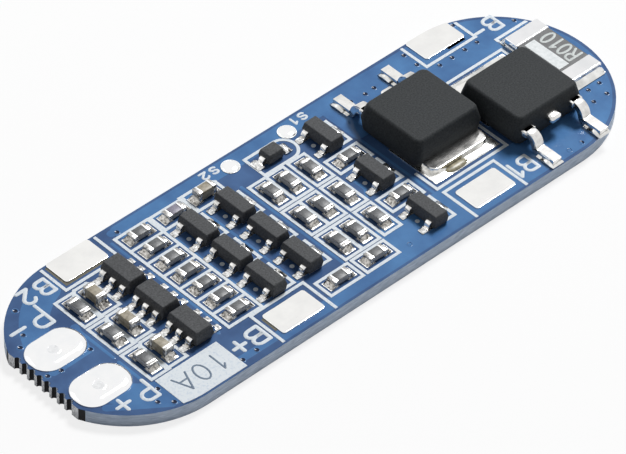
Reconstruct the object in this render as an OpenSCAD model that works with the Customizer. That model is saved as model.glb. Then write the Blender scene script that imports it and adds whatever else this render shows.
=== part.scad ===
/* Battery management board for a four-cell lithium pack.
   A snapped-off circuit board carries soldered packages, bare pads for the
   battery and output wires, and a printed legend. Millimetres.
   +X runs from the output pads to the current-sensing resistor, +Y from the
   front pads to the back pads, and the underside of the board is at Z = 0. */

/* [Board] */
// Length of the board, from the snapped edge to the round end
board_l = 50; // [50:0.5:58]
// Width of the board
board_w = 16; // [16:0.2:18]
// Thickness of the board
board_t = 1; // [0.6:0.1:1.6]
// How much of the round end is lost at the snapped edge
snap_cut = 0.75; // [0.6:0.05:1]
// Diameter of the break-off holes
bite_d = 0.5; // [0.3:0.05:0.6]
// Spacing of the break-off holes
bite_pitch = 0.73; // [0.68:0.01:0.76]
// Number of break-off holes
bite_count = 8; // [2:2:8]

/* [Copper and print] */
// Height of a tinned land above the board
land_t = 0.05; // [0.03:0.01:0.1]
// How far a land reaches past the end of what is soldered to it
land_past_end = 0.4; // [0.3:0.05:0.45]
// How far a land reaches past the side of what is soldered to it
land_past_side = 0.06; // [0.02:0.01:0.1]
// How far a land reaches past the toe of a small lead
land_past_toe = 0.2; // [0.14:0.01:0.25]
// How far a power transistor's land reaches past its tab
land_past_tab = 0.64; // [0.5:0.02:0.7]
// Height of the printed legend above the board
print_t = 0.03; // [0.02:0.01:0.05]
// Width of a printed line
print_w = 0.24; // [0.18:0.01:0.28]
// Bare strip between the print and the edge of the board
print_margin = 0.15; // [0.1:0.05:0.3]
// Gap between the print and the lands
print_gap = 0.05; // [0.03:0.01:0.1]
// Radius of the solder fillet at the end of a chip
chip_fillet = 0.3; // [0.2:0.02:0.34]

/* [Wire pads] */
// Length of a battery wire pad, along the board
cell_pad_l = 3.8; // [3.4:0.1:4]
// Width of a battery wire pad, across the board
cell_pad_w = 2.25; // [2:0.05:2.4]
// Corner radius of a battery wire pad
cell_pad_r = 0.25; // [0.1:0.05:0.5]
// Height of a battery wire pad above the board
cell_pad_t = 0.1; // [0.06:0.01:0.2]
// Length of an output wire pad
out_pad_l = 4.4; // [4:0.1:4.6]
// Width of an output wire pad
out_pad_w = 3.05; // [2.6:0.05:3.2]
// Corner radius of an output wire pad
out_pad_r = 1.4; // [1:0.05:1.5]
// Height of the tinned rim of an output wire pad
out_pad_t = 0.1; // [0.06:0.01:0.2]
// How much solder stands above the rim of an output wire pad
out_pad_crown = 0.2; // [0.1:0.01:0.3]
// Radius of a round test pad
test_pad_r = 0.68; // [0.5:0.02:0.75]

/* [Chip resistors and capacitors] */
// Length of a chip
chip_l = 1.6; // [1.5:0.02:1.66]
// Width of a chip
chip_w = 0.8; // [0.7:0.02:0.84]
// Height of a chip resistor
resistor_h = 0.45; // [0.35:0.01:0.55]
// Height of a chip capacitor
capacitor_h = 0.8; // [0.6:0.02:0.9]
// Length of the metal end of a chip
chip_end = 0.32; // [0.2:0.02:0.4]
// Thickness of the metal on the end of a chip
chip_plate = 0.04; // [0.02:0.01:0.06]
// Corner radius of the metal end of a capacitor
capacitor_round = 0.08; // [0.04:0.01:0.1]
// Distance from a chip's side to its printed frame
frame_side = 0.375; // [0.34:0.005:0.4]
// Distance from a chip's end to its printed frame
frame_end = 0.67; // [0.62:0.01:0.7]

/* [Small transistors] */
// Length of the moulded body, across the leads
sot_l = 2.9; // [2.8:0.02:3]
// Width of the moulded body of a three-lead transistor
sot_w = 1.3; // [1.2:0.02:1.4]
// Height of a three-lead transistor
sot_h = 1; // [0.9:0.02:1.1]
// Width over the leads of a three-lead transistor
sot_span = 2.4; // [2.3:0.02:2.5]
// Spacing of six-lead pins, half that of three-lead pins
pin_pitch = 0.95; // [0.9:0.01:1]
// Width of a lead
pin_w = 0.42; // [0.35:0.01:0.5]
// Thickness of a lead
pin_t = 0.14; // [0.1:0.01:0.16]
// Bend radius of a lead at its middle line
pin_bend = 0.12; // [0.1:0.005:0.14]
// How deep a lead is held in its body
pin_embed = 0.25; // [0.15:0.01:0.3]
// How far a lead runs straight out of its body
pin_shoulder = 0.06; // [0.04:0.005:0.08]
// Width of the moulded body of a six-lead chip
ic_w = 1.6; // [1.5:0.02:1.7]
// Height of a six-lead chip
ic_h = 1.15; // [1:0.02:1.2]
// Width over the leads of a six-lead chip
ic_span = 2.8; // [2.7:0.02:2.9]
// Draft of the moulded bodies
mould_draft = 7; // [3:0.5:9]

/* [Power transistors] */
// Length of the moulded body, across the leads
power_l = 6.5; // [6.3:0.05:6.6]
// Width of the moulded body
power_w = 6.1; // [6:0.05:6.2]
// Height of the moulded body
power_h = 2.3; // [2.1:0.05:2.5]
// Corner radius of the moulded body
power_r = 0.35; // [0.1:0.05:0.5]
// Width of the metal tab
tab_w = 5.3; // [5:0.05:5.4]
// How far the tab reaches past the body
tab_reach = 1; // [0.8:0.05:1.1]
// Thickness of the tab and the leads
tab_t = 0.5; // [0.4:0.02:0.55]
// Chamfer of the corners of the tab
tab_chamfer = 0.6; // [0.2:0.05:0.8]
// Distance between the middle lead and an outer lead
power_pitch = 2.285; // [2.2:0.01:2.3]
// Width of a lead where it is soldered
power_pin_w = 0.76; // [0.6:0.02:0.9]
// Width of a lead where it leaves the body
power_root_w = 1.05; // [1:0.02:1.2]
// How far a soldered lead reaches past the body
power_pin_reach = 2.8; // [2.7:0.05:2.9]
// How far the cut middle lead reaches past the body
power_stub = 0.5; // [0.4:0.05:0.8]
// How deep a lead is held in the body
power_embed = 0.8; // [0.5:0.05:1]
// How far a lead keeps its full width past the body
power_shoulder = 0.2; // [0.1:0.02:0.25]
// Height of the middle line of a lead where it leaves the body
power_exit = 1.15; // [1.05:0.05:1.2]
// Bend radius of a lead at its middle line
power_bend = 0.42; // [0.38:0.01:0.46]
// How far the land of a lead reaches past its toe
land_past_power_toe = 0.12; // [0.06:0.01:0.14]

/* [Sense resistor and diode] */
// Length of the current-sensing resistor, across the board
sense_l = 6.35; // [6:0.05:6.5]
// Width of the current-sensing resistor
sense_w = 3.2; // [3:0.05:3.3]
// Height of the current-sensing resistor
sense_h = 0.65; // [0.5:0.05:0.8]
// Length of each of its metal ends
sense_end = 1.25; // [1:0.05:1.5]
// Depth of the step between the ends and the coated middle
sense_step = 0.06; // [0.03:0.01:0.1]
// Length of the diode's body
diode_l = 1.45; // [1.35:0.05:1.55]
// Width of the diode's body
diode_w = 1.15; // [1.05:0.05:1.25]
// Height of the diode's body
diode_h = 0.8; // [0.75:0.05:0.9]
// Length over the leads of the diode
diode_span = 2.3; // [2.2:0.05:2.4]
// Radius of the round end of its printed outline
diode_mark_r = 1.02; // [0.95:0.01:1.05]

/* [Bare board along it, from the snapped edge] */
// Snapped edge to the output pads
gap_edge = 0.3; // [0.25:0.01:0.4]
// Output pads to the first printed frames
gap_pads = 0.455; // [0.4:0.005:0.5]
// Printed frames to the cell chips
gap_cell_chips = 0.185; // [0.15:0.005:0.25]
// Cell chips to the long row of resistors
gap_row = 0.61; // [0.5:0.01:0.7]
// Long row to the first transistors
gap_switch_a = 0.36; // [0.3:0.01:0.45]
// First to second transistors
gap_switch_b = 0.9; // [0.8:0.01:1]
// Second transistors to the resistor block
gap_block = 0.855; // [0.75:0.005:0.95]
// Resistor block to the third transistors
gap_switch_c = 0.215; // [0.15:0.005:0.3]
// Third transistors to the front power transistor
gap_power_a = 0.81; // [0.7:0.01:0.9]
// Between the power transistors
gap_power_b = 0.25; // [0.2:0.01:0.35]
// Back power transistor to the sensing resistor
gap_sense = 0.55; // [0.45:0.01:0.65]
// Sensing resistor to the round end
gap_end = 1.1; // [1:0.01:1.2]
// Extra space before the last column of the resistor block
block_aisle = 0.38; // [0.3:0.01:0.5]

/* [Bare board across it, from the back edge] */
// Back edge to the back row of chips
gap_back = 1.65; // [1.5:0.01:1.7]
// Back row of chips to the first channel
gap_back_row = 0.6; // [0.5:0.01:0.65]
// Between the channels
gap_channels = 0.35; // [0.3:0.01:0.4]
// Last channel to the front battery pads
gap_front_pads = 0.65; // [0.55:0.01:0.7]
// Front battery pads to the front edge
gap_front = 0.65; // [0.6:0.01:0.7]
// Last channel's middle down to the end of the long row
row_end_drop = 0.65; // [0.6:0.01:0.7]

/* [Places of single parts] */
// Middle of the negative output pad, from the middle line
out_minus_y = 1.6; // [1.5:0.05:1.7]
// Middle of the positive output pad, from the middle line
out_plus_y = -2.8; // [-2.9:0.05:-2.7]
// Middle of the front power transistor, from the middle line
power_a_y = 0.95; // [0.9:0.05:1]
// Lands of the back power transistor's leads to the front edge
power_b_margin = 0.08; // [0.05:0.01:0.12]
// Middle of the current-sensing resistor, from the middle line
sense_y = 0.15; // [0.1:0.05:0.2]
// Middle of a test pad to the back edge
test_margin = 1.14; // [1.1:0.01:1.2]
// Middle of the front row of chips to the front edge
front_row_margin = 1.97; // [1.9:0.01:2]
// Back transistor of the third column to the back edge
column_back_margin = 3.35; // [3.3:0.01:3.4]
// Front transistor of the third column to the front edge
column_front_margin = 2.55; // [2.5:0.01:2.6]
// Length of the white field for the rating
label_l = 5.4; // [5:0.1:5.6]
// Width of the white field for the rating
label_w = 3; // [2.8:0.05:3]
// Battery pad 2, from the cell chips
pad_2_shift = -1.1; // [-1.2:0.05:-1]
// Battery pad plus, from the first transistors
pad_plus_shift = -0.5; // [-0.6:0.05:-0.4]
// Battery pad 1, from the front power transistor
pad_1_shift = -0.85; // [-0.95:0.05:-0.75]
// Battery pad minus, from the back power transistor
pad_minus_shift = 0.55; // [0.45:0.05:0.65]
// Middle of the white field, from the capacitors
label_shift = 0.5; // [0.4:0.05:0.6]
// Back capacitor, from the second transistors
capacitor_shift = -0.55; // [-0.6:0.05:-0.5]
// First chip of the front row, from the second transistors
front_chip_shift = 0.56; // [0.5:0.02:0.6]
// Second chip of the front row, from the middle of the block
front_block_shift = -0.68; // [-0.74:0.02:-0.6]
// Diode, from the last column of the block
diode_shift = -1.15; // [-1.2:0.05:-1.1]
// Diode, from the back row of chips
diode_drop = 0.25; // [0.2:0.01:0.3]
// First test pad, from the first column of the block
test_a_shift = -0.25; // [-0.3:0.01:-0.2]
// Second test pad, from the third transistors
test_b_shift = -1.3; // [-1.4:0.05:-1.2]
// Channel's middle down to its resistor
channel_resistor_drop = 0.17; // [0.1:0.01:0.2]
// Channel's middle down to its capacitor
channel_capacitor_drop = 0.08; // [0.04:0.01:0.12]
// Channel's middle down to its row of the block
channel_block_drop = 0.48; // [0.44:0.01:0.52]

/* [Hidden] */
$fn = 48;
eps = 0.01;
bend_steps = 5;
pin_slope = 76;
power_slope = 70;
LEFT = -board_l / 2;
RIGHT = board_l / 2;
end_r = board_w / 2;
seat_z = board_t + land_t;
pin_exit = sot_h / 2;
ic_exit = ic_h / 2;
power_toe = power_w / 2 + power_pin_reach;

// A chip, its frame and the pitch of frames that share a line
frame_w = chip_w + 2 * frame_side;
frame_l = chip_l + 2 * frame_end;
pair_pitch = frame_w - print_w / 5;
block_pitch = frame_w + print_w / 4;

// The columns fill the board's length: what they leave is shared out as gaps
column_sizes = [out_pad_l, pair_pitch + frame_w + 1.5 * print_w, ic_span, frame_l + print_w,
    sot_span, sot_span, 2 * block_pitch + block_aisle + frame_w + print_w, frame_l + print_w,
    power_l, power_l, sense_w];
column_gaps = [gap_edge, gap_pads, gap_cell_chips, gap_row, gap_switch_a, gap_switch_b, gap_block,
    gap_switch_c, gap_power_a, gap_power_b, gap_sense, gap_end];
row_sizes = [chip_w, sot_l, sot_l, sot_l, cell_pad_w];
row_gaps = [gap_back, gap_back_row, gap_channels, gap_channels, gap_front_pads, gap_front];

function total(list, n) = n <= 0 ? 0 : list[n - 1] + total(list, n - 1);
// Middle of item i when the items and stretched gaps fill the whole length
function middle(sizes, gaps, whole, i) = let (
    stretch = (whole - total(sizes, len(sizes))) / total(gaps, len(gaps)))
    total(sizes, i) + sizes[i] / 2 + stretch * total(gaps, i + 1);

columns = [for (i = [0:len(column_sizes) - 1]) LEFT + middle(column_sizes, column_gaps, board_l, i)];
rows = [for (i = [0:len(row_sizes) - 1]) end_r - middle(row_sizes, row_gaps, board_w, i)];
out_pad_x = columns[0];
cell_resistor_x = columns[1] - (pair_pitch + print_w / 2) / 2;
cell_capacitor_x = cell_resistor_x + pair_pitch;
cell_chip_x = columns[2];
row_x = columns[3];
switch_a_x = columns[4];
switch_b_x = columns[5];
block_a_x = columns[6] - block_pitch - block_aisle / 2;
block_c_x = columns[6] + block_pitch + block_aisle / 2;
switch_c_x = columns[7];
sense_x = columns[10];
back_row_y = rows[0];
channels = [rows[1], rows[2], rows[3]];
front_pad_y = rows[4];
back_pad_y = end_r - cell_pad_w / 2;
column_back_y = end_r - column_back_margin;
column_front_y = column_front_margin - end_r;
column_mid_y = (column_back_y + column_front_y) / 2;
row_pitch = (back_row_y - channels[2] + row_end_drop) / 6;

// Every place is [x, y, turn]: along x at turn 0, along y at turn 90
cell_resistors = [for (y = channels) [cell_resistor_x, y - channel_resistor_drop, 90]];
row_resistors = [for (i = [0:6]) [row_x, back_row_y - i * row_pitch, 0]];
block_resistors = [for (x = [block_a_x, block_a_x + block_pitch, block_c_x]) for (y = channels)
    [x, y - channel_block_drop, 90]];
single_resistors = [[switch_a_x, back_row_y, 0],
    [switch_b_x + front_chip_shift, front_row_margin - end_r, 0],
    [block_a_x + block_pitch + front_block_shift, front_row_margin - end_r, 0],
    [switch_c_x, (column_back_y + column_mid_y) / 2, 0],
    [switch_c_x, (column_front_y + column_mid_y) / 2, 0]];
resistors = concat(cell_resistors, row_resistors, block_resistors, single_resistors);
capacitors = concat([for (y = channels) [cell_capacitor_x, y - channel_capacitor_drop, 90]],
    [[switch_b_x + capacitor_shift, back_row_y, 0]]);
transistors = concat([for (x = [switch_a_x, switch_b_x]) for (y = channels) [x, y, 0]],
    [for (y = [column_back_y, column_mid_y, column_front_y]) [switch_c_x, y, 0]]);
cell_chips = [for (y = channels) [cell_chip_x, y, 0]];
power_places = [[columns[8], power_a_y, 0],
    [columns[9], power_b_margin + land_past_power_toe + power_toe - end_r, 180]];
sense_place = [sense_x, sense_y, 90];
diode_place = [block_c_x + diode_shift, back_row_y - diode_drop, 0];
test_places = [[block_a_x + test_a_shift, end_r - test_margin],
    [switch_c_x + test_b_shift, end_r - test_margin]];

function two(i) = i < 10 ? str("0", i) : str(i);
function names(stem, list) = [for (i = [1:len(list)]) str(stem, two(i))];

// ---------------------------------------------------------------- shapes

module place(p, z = seat_z) {
    translate([p[0], p[1], z]) rotate(p[2]) children();
}

// Flat rectangle with round corners
module round_rect(l, w, r) {
    square([l - 2 * r, w], center = true);
    square([l, w - 2 * r], center = true);
    for (sx = [-1, 1]) for (sy = [-1, 1])
        translate([sx * (l / 2 - r), sy * (w / 2 - r)]) circle(r);
}

// Block standing on its underside, centred on x and y
module block(l, w, h) {
    translate([-l / 2, -w / 2, 0]) cube([l, w, h]);
}

// Straight printed line between two points
module line(a, b) {
    along = b - a;
    translate(a) rotate(atan2(along[1], along[0]))
        translate([-print_w / 2, -print_w / 2]) square([norm(along) + print_w, print_w]);
}

// Printed frame with its middle line on a rectangle
module frame(l, w) {
    difference() {
        square([l + print_w, w + print_w], center = true);
        square([l - print_w, w - print_w], center = true);
    }
}

// Section through a moulded body: widest at the parting line
function mould_section(size, h, parting) = let (
    low = size / 2 - parting * tan(mould_draft),
    top = size / 2 - (h - parting) * tan(mould_draft))
    [[-low, 0], [low, 0], [size / 2, parting], [top, h], [-top, h], [-size / 2, parting]];

module moulded(l, w, h, parting, r) {
    intersection() {
        rotate([90, 0, 0]) linear_extrude(w + 1, center = true)
            polygon(mould_section(l, h, parting));
        rotate([90, 0, 90]) linear_extrude(l + 1, center = true)
            polygon(mould_section(w, h, parting));
        linear_extrude(h) round_rect(l, w, r);
    }
}

// Middle line of a gull-wing lead from inside the body to its toe, as [x, z, slope]
function gull_line(embed, straight, reach, drop, bend, slope) = let (
    leg = (drop - 2 * bend * (1 - cos(slope))) / sin(slope),
    low_x = straight + 2 * bend * sin(slope) + leg * cos(slope))
    concat([[-embed, drop, 0]],
        [for (i = [0:bend_steps]) let (a = slope * i / bend_steps)
            [straight + bend * sin(a), drop - bend * (1 - cos(a)), a]],
        [for (i = [bend_steps:-1:0]) let (a = slope * i / bend_steps)
            [low_x - bend * sin(a), bend * (1 - cos(a)), a]],
        [[reach, 0, 0]]);

// Outline of a strip of the given thickness along such a line, its foot on zero
function strip(path, t) = concat(
    [for (p = path) [p[0] + t / 2 * sin(p[2]), p[1] + t / 2 + t / 2 * cos(p[2])]],
    [for (i = [len(path) - 1:-1:0]) let (p = path[i])
        [p[0] - t / 2 * sin(p[2]), p[1] + t / 2 - t / 2 * cos(p[2])]]);

// Lead bent down and out from the face of a body at x = face
module gull_lead(face, embed, straight, reach, exit, bend, slope, t, w) {
    translate([face, 0, 0]) rotate([90, 0, 0]) linear_extrude(w, center = true)
        polygon(strip(gull_line(embed, straight, reach, exit - t / 2, bend, slope), t));
}

// Concave solder fillet that leans on a face at x = 0
module fillet(r, w) {
    rotate([90, 0, 0]) linear_extrude(w, center = true)
        difference() {
            square(r);
            translate([r, r]) circle(r);
        }
}

// ---------------------------------------------------------------- board

// Round-ended outline, snapped straight at the left, drawn in by a margin
module board_outline(margin) {
    left_c = LEFT - snap_cut + end_r;
    right_c = RIGHT - end_r;
    r = end_r - margin;
    intersection() {
        union() {
            translate([left_c, -r]) square([right_c - left_c, 2 * r]);
            for (x = [left_c, right_c]) translate([x, 0]) circle(r, $fn = 96);
        }
        translate([LEFT + margin, -end_r]) square([board_l, board_w]);
    }
}

module circuit_board() {
    color([0.27, 0.46, 0.72]) difference() {
        linear_extrude(board_t) board_outline(0);
        for (i = [0:bite_count - 1])
            translate([LEFT, (i - (bite_count - 1) / 2) * bite_pitch, -eps])
                cylinder(d = bite_d, h = board_t + 2 * eps, $fn = 24);
    }
}

// ---------------------------------------------------------------- wire pads

// Pad whose solder stands up in the middle, as part of a large ball
module crowned_pad(l, w, r, t, crown) {
    half = norm([l, w]) / 2;
    ball = (half * half + crown * crown) / (2 * crown);
    color([0.93, 0.92, 0.88]) intersection() {
        linear_extrude(t + crown) round_rect(l, w, r);
        translate([0, 0, t + crown - ball]) sphere(ball, $fn = 256);
    }
}

module output_pad(y) {
    translate([out_pad_x, y, board_t])
        crowned_pad(out_pad_l, out_pad_w, out_pad_r, out_pad_t, out_pad_crown);
}

module output_pad_minus() { output_pad(out_minus_y); }

module output_pad_plus() { output_pad(out_plus_y); }

module battery_pad(x, y) {
    color([0.93, 0.92, 0.86]) translate([0, 0, board_t]) linear_extrude(cell_pad_t)
        intersection() {
            translate([x, y]) round_rect(cell_pad_l, cell_pad_w, cell_pad_r);
            board_outline(0);
        }
}

module battery_pad_plus() { battery_pad(switch_a_x + pad_plus_shift, front_pad_y); }

module battery_pad_1() { battery_pad(columns[8] + pad_1_shift, front_pad_y); }

module battery_pad_2() { battery_pad(cell_chip_x + pad_2_shift, back_pad_y); }

module battery_pad_minus() { battery_pad(columns[9] + pad_minus_shift, back_pad_y); }

// ---------------------------------------------------------------- chips

// Two plated ends that wrap round a chip
module chip_ends(l, w, h, end, r) {
    for (s = [-1, 1]) translate([s * (l - end) / 2, 0, h / 2])
        rotate([90, 0, 90]) linear_extrude(end, center = true) round_rect(w, h, r);
}

module chip_resistor(p) {
    cover_l = chip_l - 2 * chip_end;
    cover_w = chip_w - 2 * chip_plate;
    color([0.33, 0.34, 0.37]) place(p) {
        translate([0, 0, chip_plate])
            block(chip_l - 2 * chip_plate, cover_w, resistor_h - 2 * chip_plate);
        translate([0, 0, resistor_h - 2 * chip_plate])
            block(cover_l + 2 * eps, cover_w, 2 * chip_plate);
        chip_ends(chip_l, chip_w, resistor_h, chip_end, chip_plate);
    }
}

module chip_capacitor(p) {
    color([0.62, 0.52, 0.38]) place(p) {
        translate([0, 0, chip_plate])
            block(chip_l - 2 * chip_plate, chip_w - 2 * chip_plate, capacitor_h - 2 * chip_plate);
        chip_ends(chip_l, chip_w, capacitor_h, chip_end, capacitor_round);
    }
}

// ---------------------------------------------------------------- small packages

module sot_lead(side, y) {
    reach = (sot_span - sot_w) / 2;
    translate([0, y, 0]) rotate(side > 0 ? 0 : 180)
        gull_lead(sot_w / 2, pin_embed, pin_shoulder, reach, pin_exit, pin_bend, pin_slope, pin_t, pin_w);
}

// Two leads towards -x and one towards +x
module sot_leads() {
    for (y = [-pin_pitch, pin_pitch]) sot_lead(-1, y);
    sot_lead(1, 0);
}

module transistor(p) {
    color([0.16, 0.17, 0.18]) place(p) difference() {
        moulded(sot_w, sot_l, sot_h, pin_exit, 0.06);
        sot_leads();
    }
}

module transistor_leads() {
    color([0.8, 0.8, 0.78]) for (p = transistors) place(p) sot_leads();
}

// Three leads on each long side
module ic_leads() {
    reach = (ic_span - ic_w) / 2;
    for (turn = [0, 180]) rotate(turn)
        for (y = [-pin_pitch, 0, pin_pitch]) translate([0, y, 0])
            gull_lead(ic_w / 2, pin_embed, pin_shoulder, reach, ic_exit, pin_bend, pin_slope, pin_t, pin_w);
}

module cell_chip(p) {
    color([0.16, 0.17, 0.18]) place(p) difference() {
        moulded(ic_w, sot_l, ic_h, ic_exit, 0.06);
        ic_leads();
    }
}

module cell_chip_leads() {
    color([0.8, 0.8, 0.78]) for (p = cell_chips) place(p) ic_leads();
}

module diode_metal() {
    reach = (diode_span - diode_l) / 2;
    for (turn = [0, 180]) rotate(turn)
        gull_lead(diode_l / 2, pin_embed, pin_shoulder / 2, reach, diode_h / 2, pin_bend, pin_slope,
            pin_t, pin_w);
}

module diode() {
    color([0.16, 0.17, 0.18]) place(diode_place) difference() {
        moulded(diode_l, diode_w, diode_h, diode_h / 2, 0.06);
        diode_metal();
    }
}

module diode_leads() {
    color([0.8, 0.8, 0.78]) place(diode_place) diode_metal();
}

// ---------------------------------------------------------------- power transistors

// Tab outline, seen from above, with its outer corners cut off
module tab_outline() {
    tip = -power_w / 2 - tab_reach;
    polygon([[-tab_w / 2, 0], [-tab_w / 2, tip + tab_chamfer], [-tab_w / 2 + tab_chamfer, tip],
        [tab_w / 2 - tab_chamfer, tip], [tab_w / 2, tip + tab_chamfer], [tab_w / 2, 0]]);
}

// Tab towards -y, two bent leads and one cut lead towards +y
module leadframe_metal() {
    linear_extrude(tab_t) tab_outline();
    for (x = [-power_pitch, power_pitch]) translate([x, 0, 0]) rotate(90) {
        gull_lead(power_w / 2, power_embed, power_shoulder, power_pin_reach, power_exit, power_bend,
            power_slope, tab_t, power_pin_w);
        translate([power_w / 2 - power_embed, -power_root_w / 2, power_exit - tab_t / 2])
            cube([power_embed + power_shoulder, power_root_w, tab_t]);
    }
    translate([-power_root_w / 2, power_w / 2 - power_embed, power_exit - tab_t / 2])
        cube([power_root_w, power_embed + power_stub, tab_t]);
}

module power_transistor(p) {
    color([0.2, 0.2, 0.21]) place(p) difference() {
        moulded(power_l, power_w, power_h, power_exit, power_r);
        leadframe_metal();
    }
}

module power_leadframe(p) {
    color([0.78, 0.78, 0.76]) place(p) leadframe_metal();
}

// ---------------------------------------------------------------- sense resistor

module sense_resistor() {
    color([0.2, 0.2, 0.2]) place(sense_place) translate([0, 0, sense_step])
        block(sense_l - 2 * sense_end, sense_w - 2 * sense_step, sense_h - 2 * sense_step);
}

module sense_resistor_ends() {
    color([0.74, 0.74, 0.72]) place(sense_place) chip_ends(sense_l, sense_w, sense_h, sense_end, 0.1);
}

// ---------------------------------------------------------------- solder

// A land under one soldered end, from x = a to x = b, grown all round
module land(a, b, w, grow) {
    translate([a - grow, -w / 2 - grow]) square([b - a + 2 * grow, w + 2 * grow]);
}

// Both lands of a part with metal ends
module end_lands(l, w, end, grow) {
    for (turn = [0, 180]) rotate(turn)
        land(l / 2 - end - land_past_side, l / 2 + land_past_end, w + 2 * land_past_side, grow);
}

module pin_land(reach, grow) {
    land(reach - 2 * pin_w, reach + land_past_toe, pin_w + 2 * land_past_side, grow);
}

module power_lands(grow) {
    tab_tip = power_w / 2 + tab_reach;
    rotate(-90) land(0, tab_tip + land_past_tab, tab_w + 2 * land_past_end, grow);
    for (x = [-power_pitch, power_pitch]) translate([x, 0]) rotate(90)
        land(power_w / 2 + 3 * power_bend, power_toe + land_past_power_toe,
            power_pin_w + 4 * land_past_side, grow);
}

module spot(p) {
    translate([p[0], p[1]]) rotate(p[2]) children();
}

module land_plan(grow) {
    for (p = concat(resistors, capacitors)) spot(p) end_lands(chip_l, chip_w, chip_end, grow);
    spot(sense_place) end_lands(sense_l, sense_w, sense_end, grow);
    for (p = transistors) spot(p) {
        for (y = [-pin_pitch, pin_pitch]) translate([0, y]) rotate(180) pin_land(sot_span / 2, grow);
        pin_land(sot_span / 2, grow);
    }
    for (p = cell_chips) spot(p) for (turn = [0, 180]) rotate(turn)
        for (y = [-pin_pitch, 0, pin_pitch]) translate([0, y]) pin_land(ic_span / 2, grow);
    spot(diode_place) for (turn = [0, 180]) rotate(turn) pin_land(diode_span / 2, grow);
    for (p = power_places) spot(p) power_lands(grow);
    for (p = test_places) translate(p) circle(test_pad_r + grow);
}

module component_lands() {
    color([0.84, 0.84, 0.8]) translate([0, 0, board_t]) linear_extrude(land_t) land_plan(0);
}

// Fillets outside both ends of a part with metal ends
module end_fillets(l, w, r) {
    for (turn = [0, 180]) rotate(turn) translate([l / 2, 0, 0]) fillet(r, w);
}

module pin_fillet(reach) {
    translate([reach, 0, 0]) fillet(pin_t, pin_w);
}

module solder_fillets() {
    tab_tip = power_w / 2 + tab_reach;
    color([0.9, 0.9, 0.88]) {
        for (p = concat(resistors, capacitors)) place(p) end_fillets(chip_l, chip_w, chip_fillet);
        place(sense_place) end_fillets(sense_l, sense_w, min(sense_h, land_past_end));
        for (p = transistors) place(p) {
            for (y = [-pin_pitch, pin_pitch]) translate([0, y, 0]) rotate(180) pin_fillet(sot_span / 2);
            pin_fillet(sot_span / 2);
        }
        for (p = cell_chips) place(p) for (turn = [0, 180]) rotate(turn)
            for (y = [-pin_pitch, 0, pin_pitch]) translate([0, y, 0]) pin_fillet(ic_span / 2);
        place(diode_place) for (turn = [0, 180]) rotate(turn) pin_fillet(diode_span / 2);
        for (p = power_places) place(p) {
            translate([0, -tab_tip, 0]) rotate(-90) fillet(tab_t * 0.9, tab_w - 2 * tab_chamfer);
            for (x = [-power_pitch, power_pitch]) translate([x, power_w / 2 + power_pin_reach, 0])
                rotate(90) fillet(land_past_power_toe, power_pin_w);
        }
    }
}

// ---------------------------------------------------------------- legend

module chip_frame(p, w) {
    spot(p) frame(frame_l, w);
}

// Frame with two corners cut off, round a capacitor
module capacitor_frame(p) {
    l = frame_l / 2;
    w = frame_w / 2 + print_w / 2;
    cut = frame_side;
    points = [[-l, -w], [-l, w], [l - cut, w], [l, w - cut], [l, cut - w], [l - cut, -w]];
    spot(p) for (i = [0:5]) line(points[i], points[(i + 1) % 6]);
}

// Lines on the open sides of a small transistor, and its printed mark
module transistor_mark(p) {
    side = sot_span / 2 + print_w;
    low = -sot_l / 2 + print_w;
    spot(p) {
        line([side, low], [side, -low]);
        line([-sot_w / 2 + print_w, low], [side, low]);
        translate([-sot_w / 2 - print_w, 0]) circle(print_w * 0.7);
    }
}

// Bracket round a battery pad, open towards the edge of the board
module pad_bracket(x, y, side) {
    reach = cell_pad_l / 2 + 2 * print_w;
    near = y - side * (cell_pad_w / 2 + 2 * print_w);
    for (s = [-1, 1]) line([x + s * reach, near], [x + s * reach, side * end_r]);
    line([x - reach, near], [x + reach, near]);
}

// Open frame round a power transistor's tab, its sides this far past the tab's root
module power_mark(p, left_side, right_side) {
    reach = power_l / 2 + print_w / 3;
    tip = -power_w / 2 - tab_reach - land_past_tab - 1.5 * print_w;
    root = -power_w / 2 - tab_reach;
    spot(p) {
        line([-reach, tip], [reach, tip]);
        line([-reach, tip], [-reach, root + left_side]);
        line([reach, tip], [reach, root + right_side]);
    }
}

// White field that the rating is printed on
module rating_field() {
    translate([cell_capacitor_x + label_shift, label_w / 2 + print_margin - end_r])
        square([label_l, label_w], center = true);
}

module sense_mark() {
    corner = [sense_x - sense_w / 2, sense_y + sense_l / 2 + land_past_end + 1.5 * print_w];
    line(corner, corner - [0, 6 * print_w]);
    line(corner, corner + [sense_w, 0]);
}

// Outline of the diode with a round end
module diode_outline(r) {
    translate([diode_span / 2, 0]) circle(r);
    translate([-diode_span / 2 - land_past_end - r + diode_mark_r, -r])
        square([diode_span + land_past_end + r - diode_mark_r, 2 * r]);
}

module diode_mark() {
    spot(diode_place) difference() {
        diode_outline(diode_mark_r + print_w / 2);
        diode_outline(diode_mark_r - print_w / 2);
    }
}

module legend_lines() {
    for (p = concat(cell_resistors, block_resistors, single_resistors)) chip_frame(p, frame_w);
    for (p = row_resistors) chip_frame(p, row_pitch);
    for (p = capacitors) capacitor_frame(p);
    for (p = transistors) transistor_mark(p);
    power_mark(power_places[0], tab_reach, power_w + tab_reach);
    power_mark(power_places[1], 0, 0);
    sense_mark();
    diode_mark();
    rating_field();
    pad_bracket(cell_chip_x + pad_2_shift, back_pad_y, 1);
    pad_bracket(columns[9] + pad_minus_shift, back_pad_y, 1);
    pad_bracket(switch_a_x + pad_plus_shift, front_pad_y, -1);
    pad_bracket(columns[8] + pad_1_shift, front_pad_y, -1);
}

module silkscreen_legend() {
    color([0.93, 0.95, 0.97]) translate([0, 0, board_t]) linear_extrude(print_t)
        difference() {
            intersection() {
                legend_lines();
                board_outline(print_margin);
            }
            land_plan(print_gap);
        }
}

// ---------------------------------------------------------------- nodes

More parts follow.
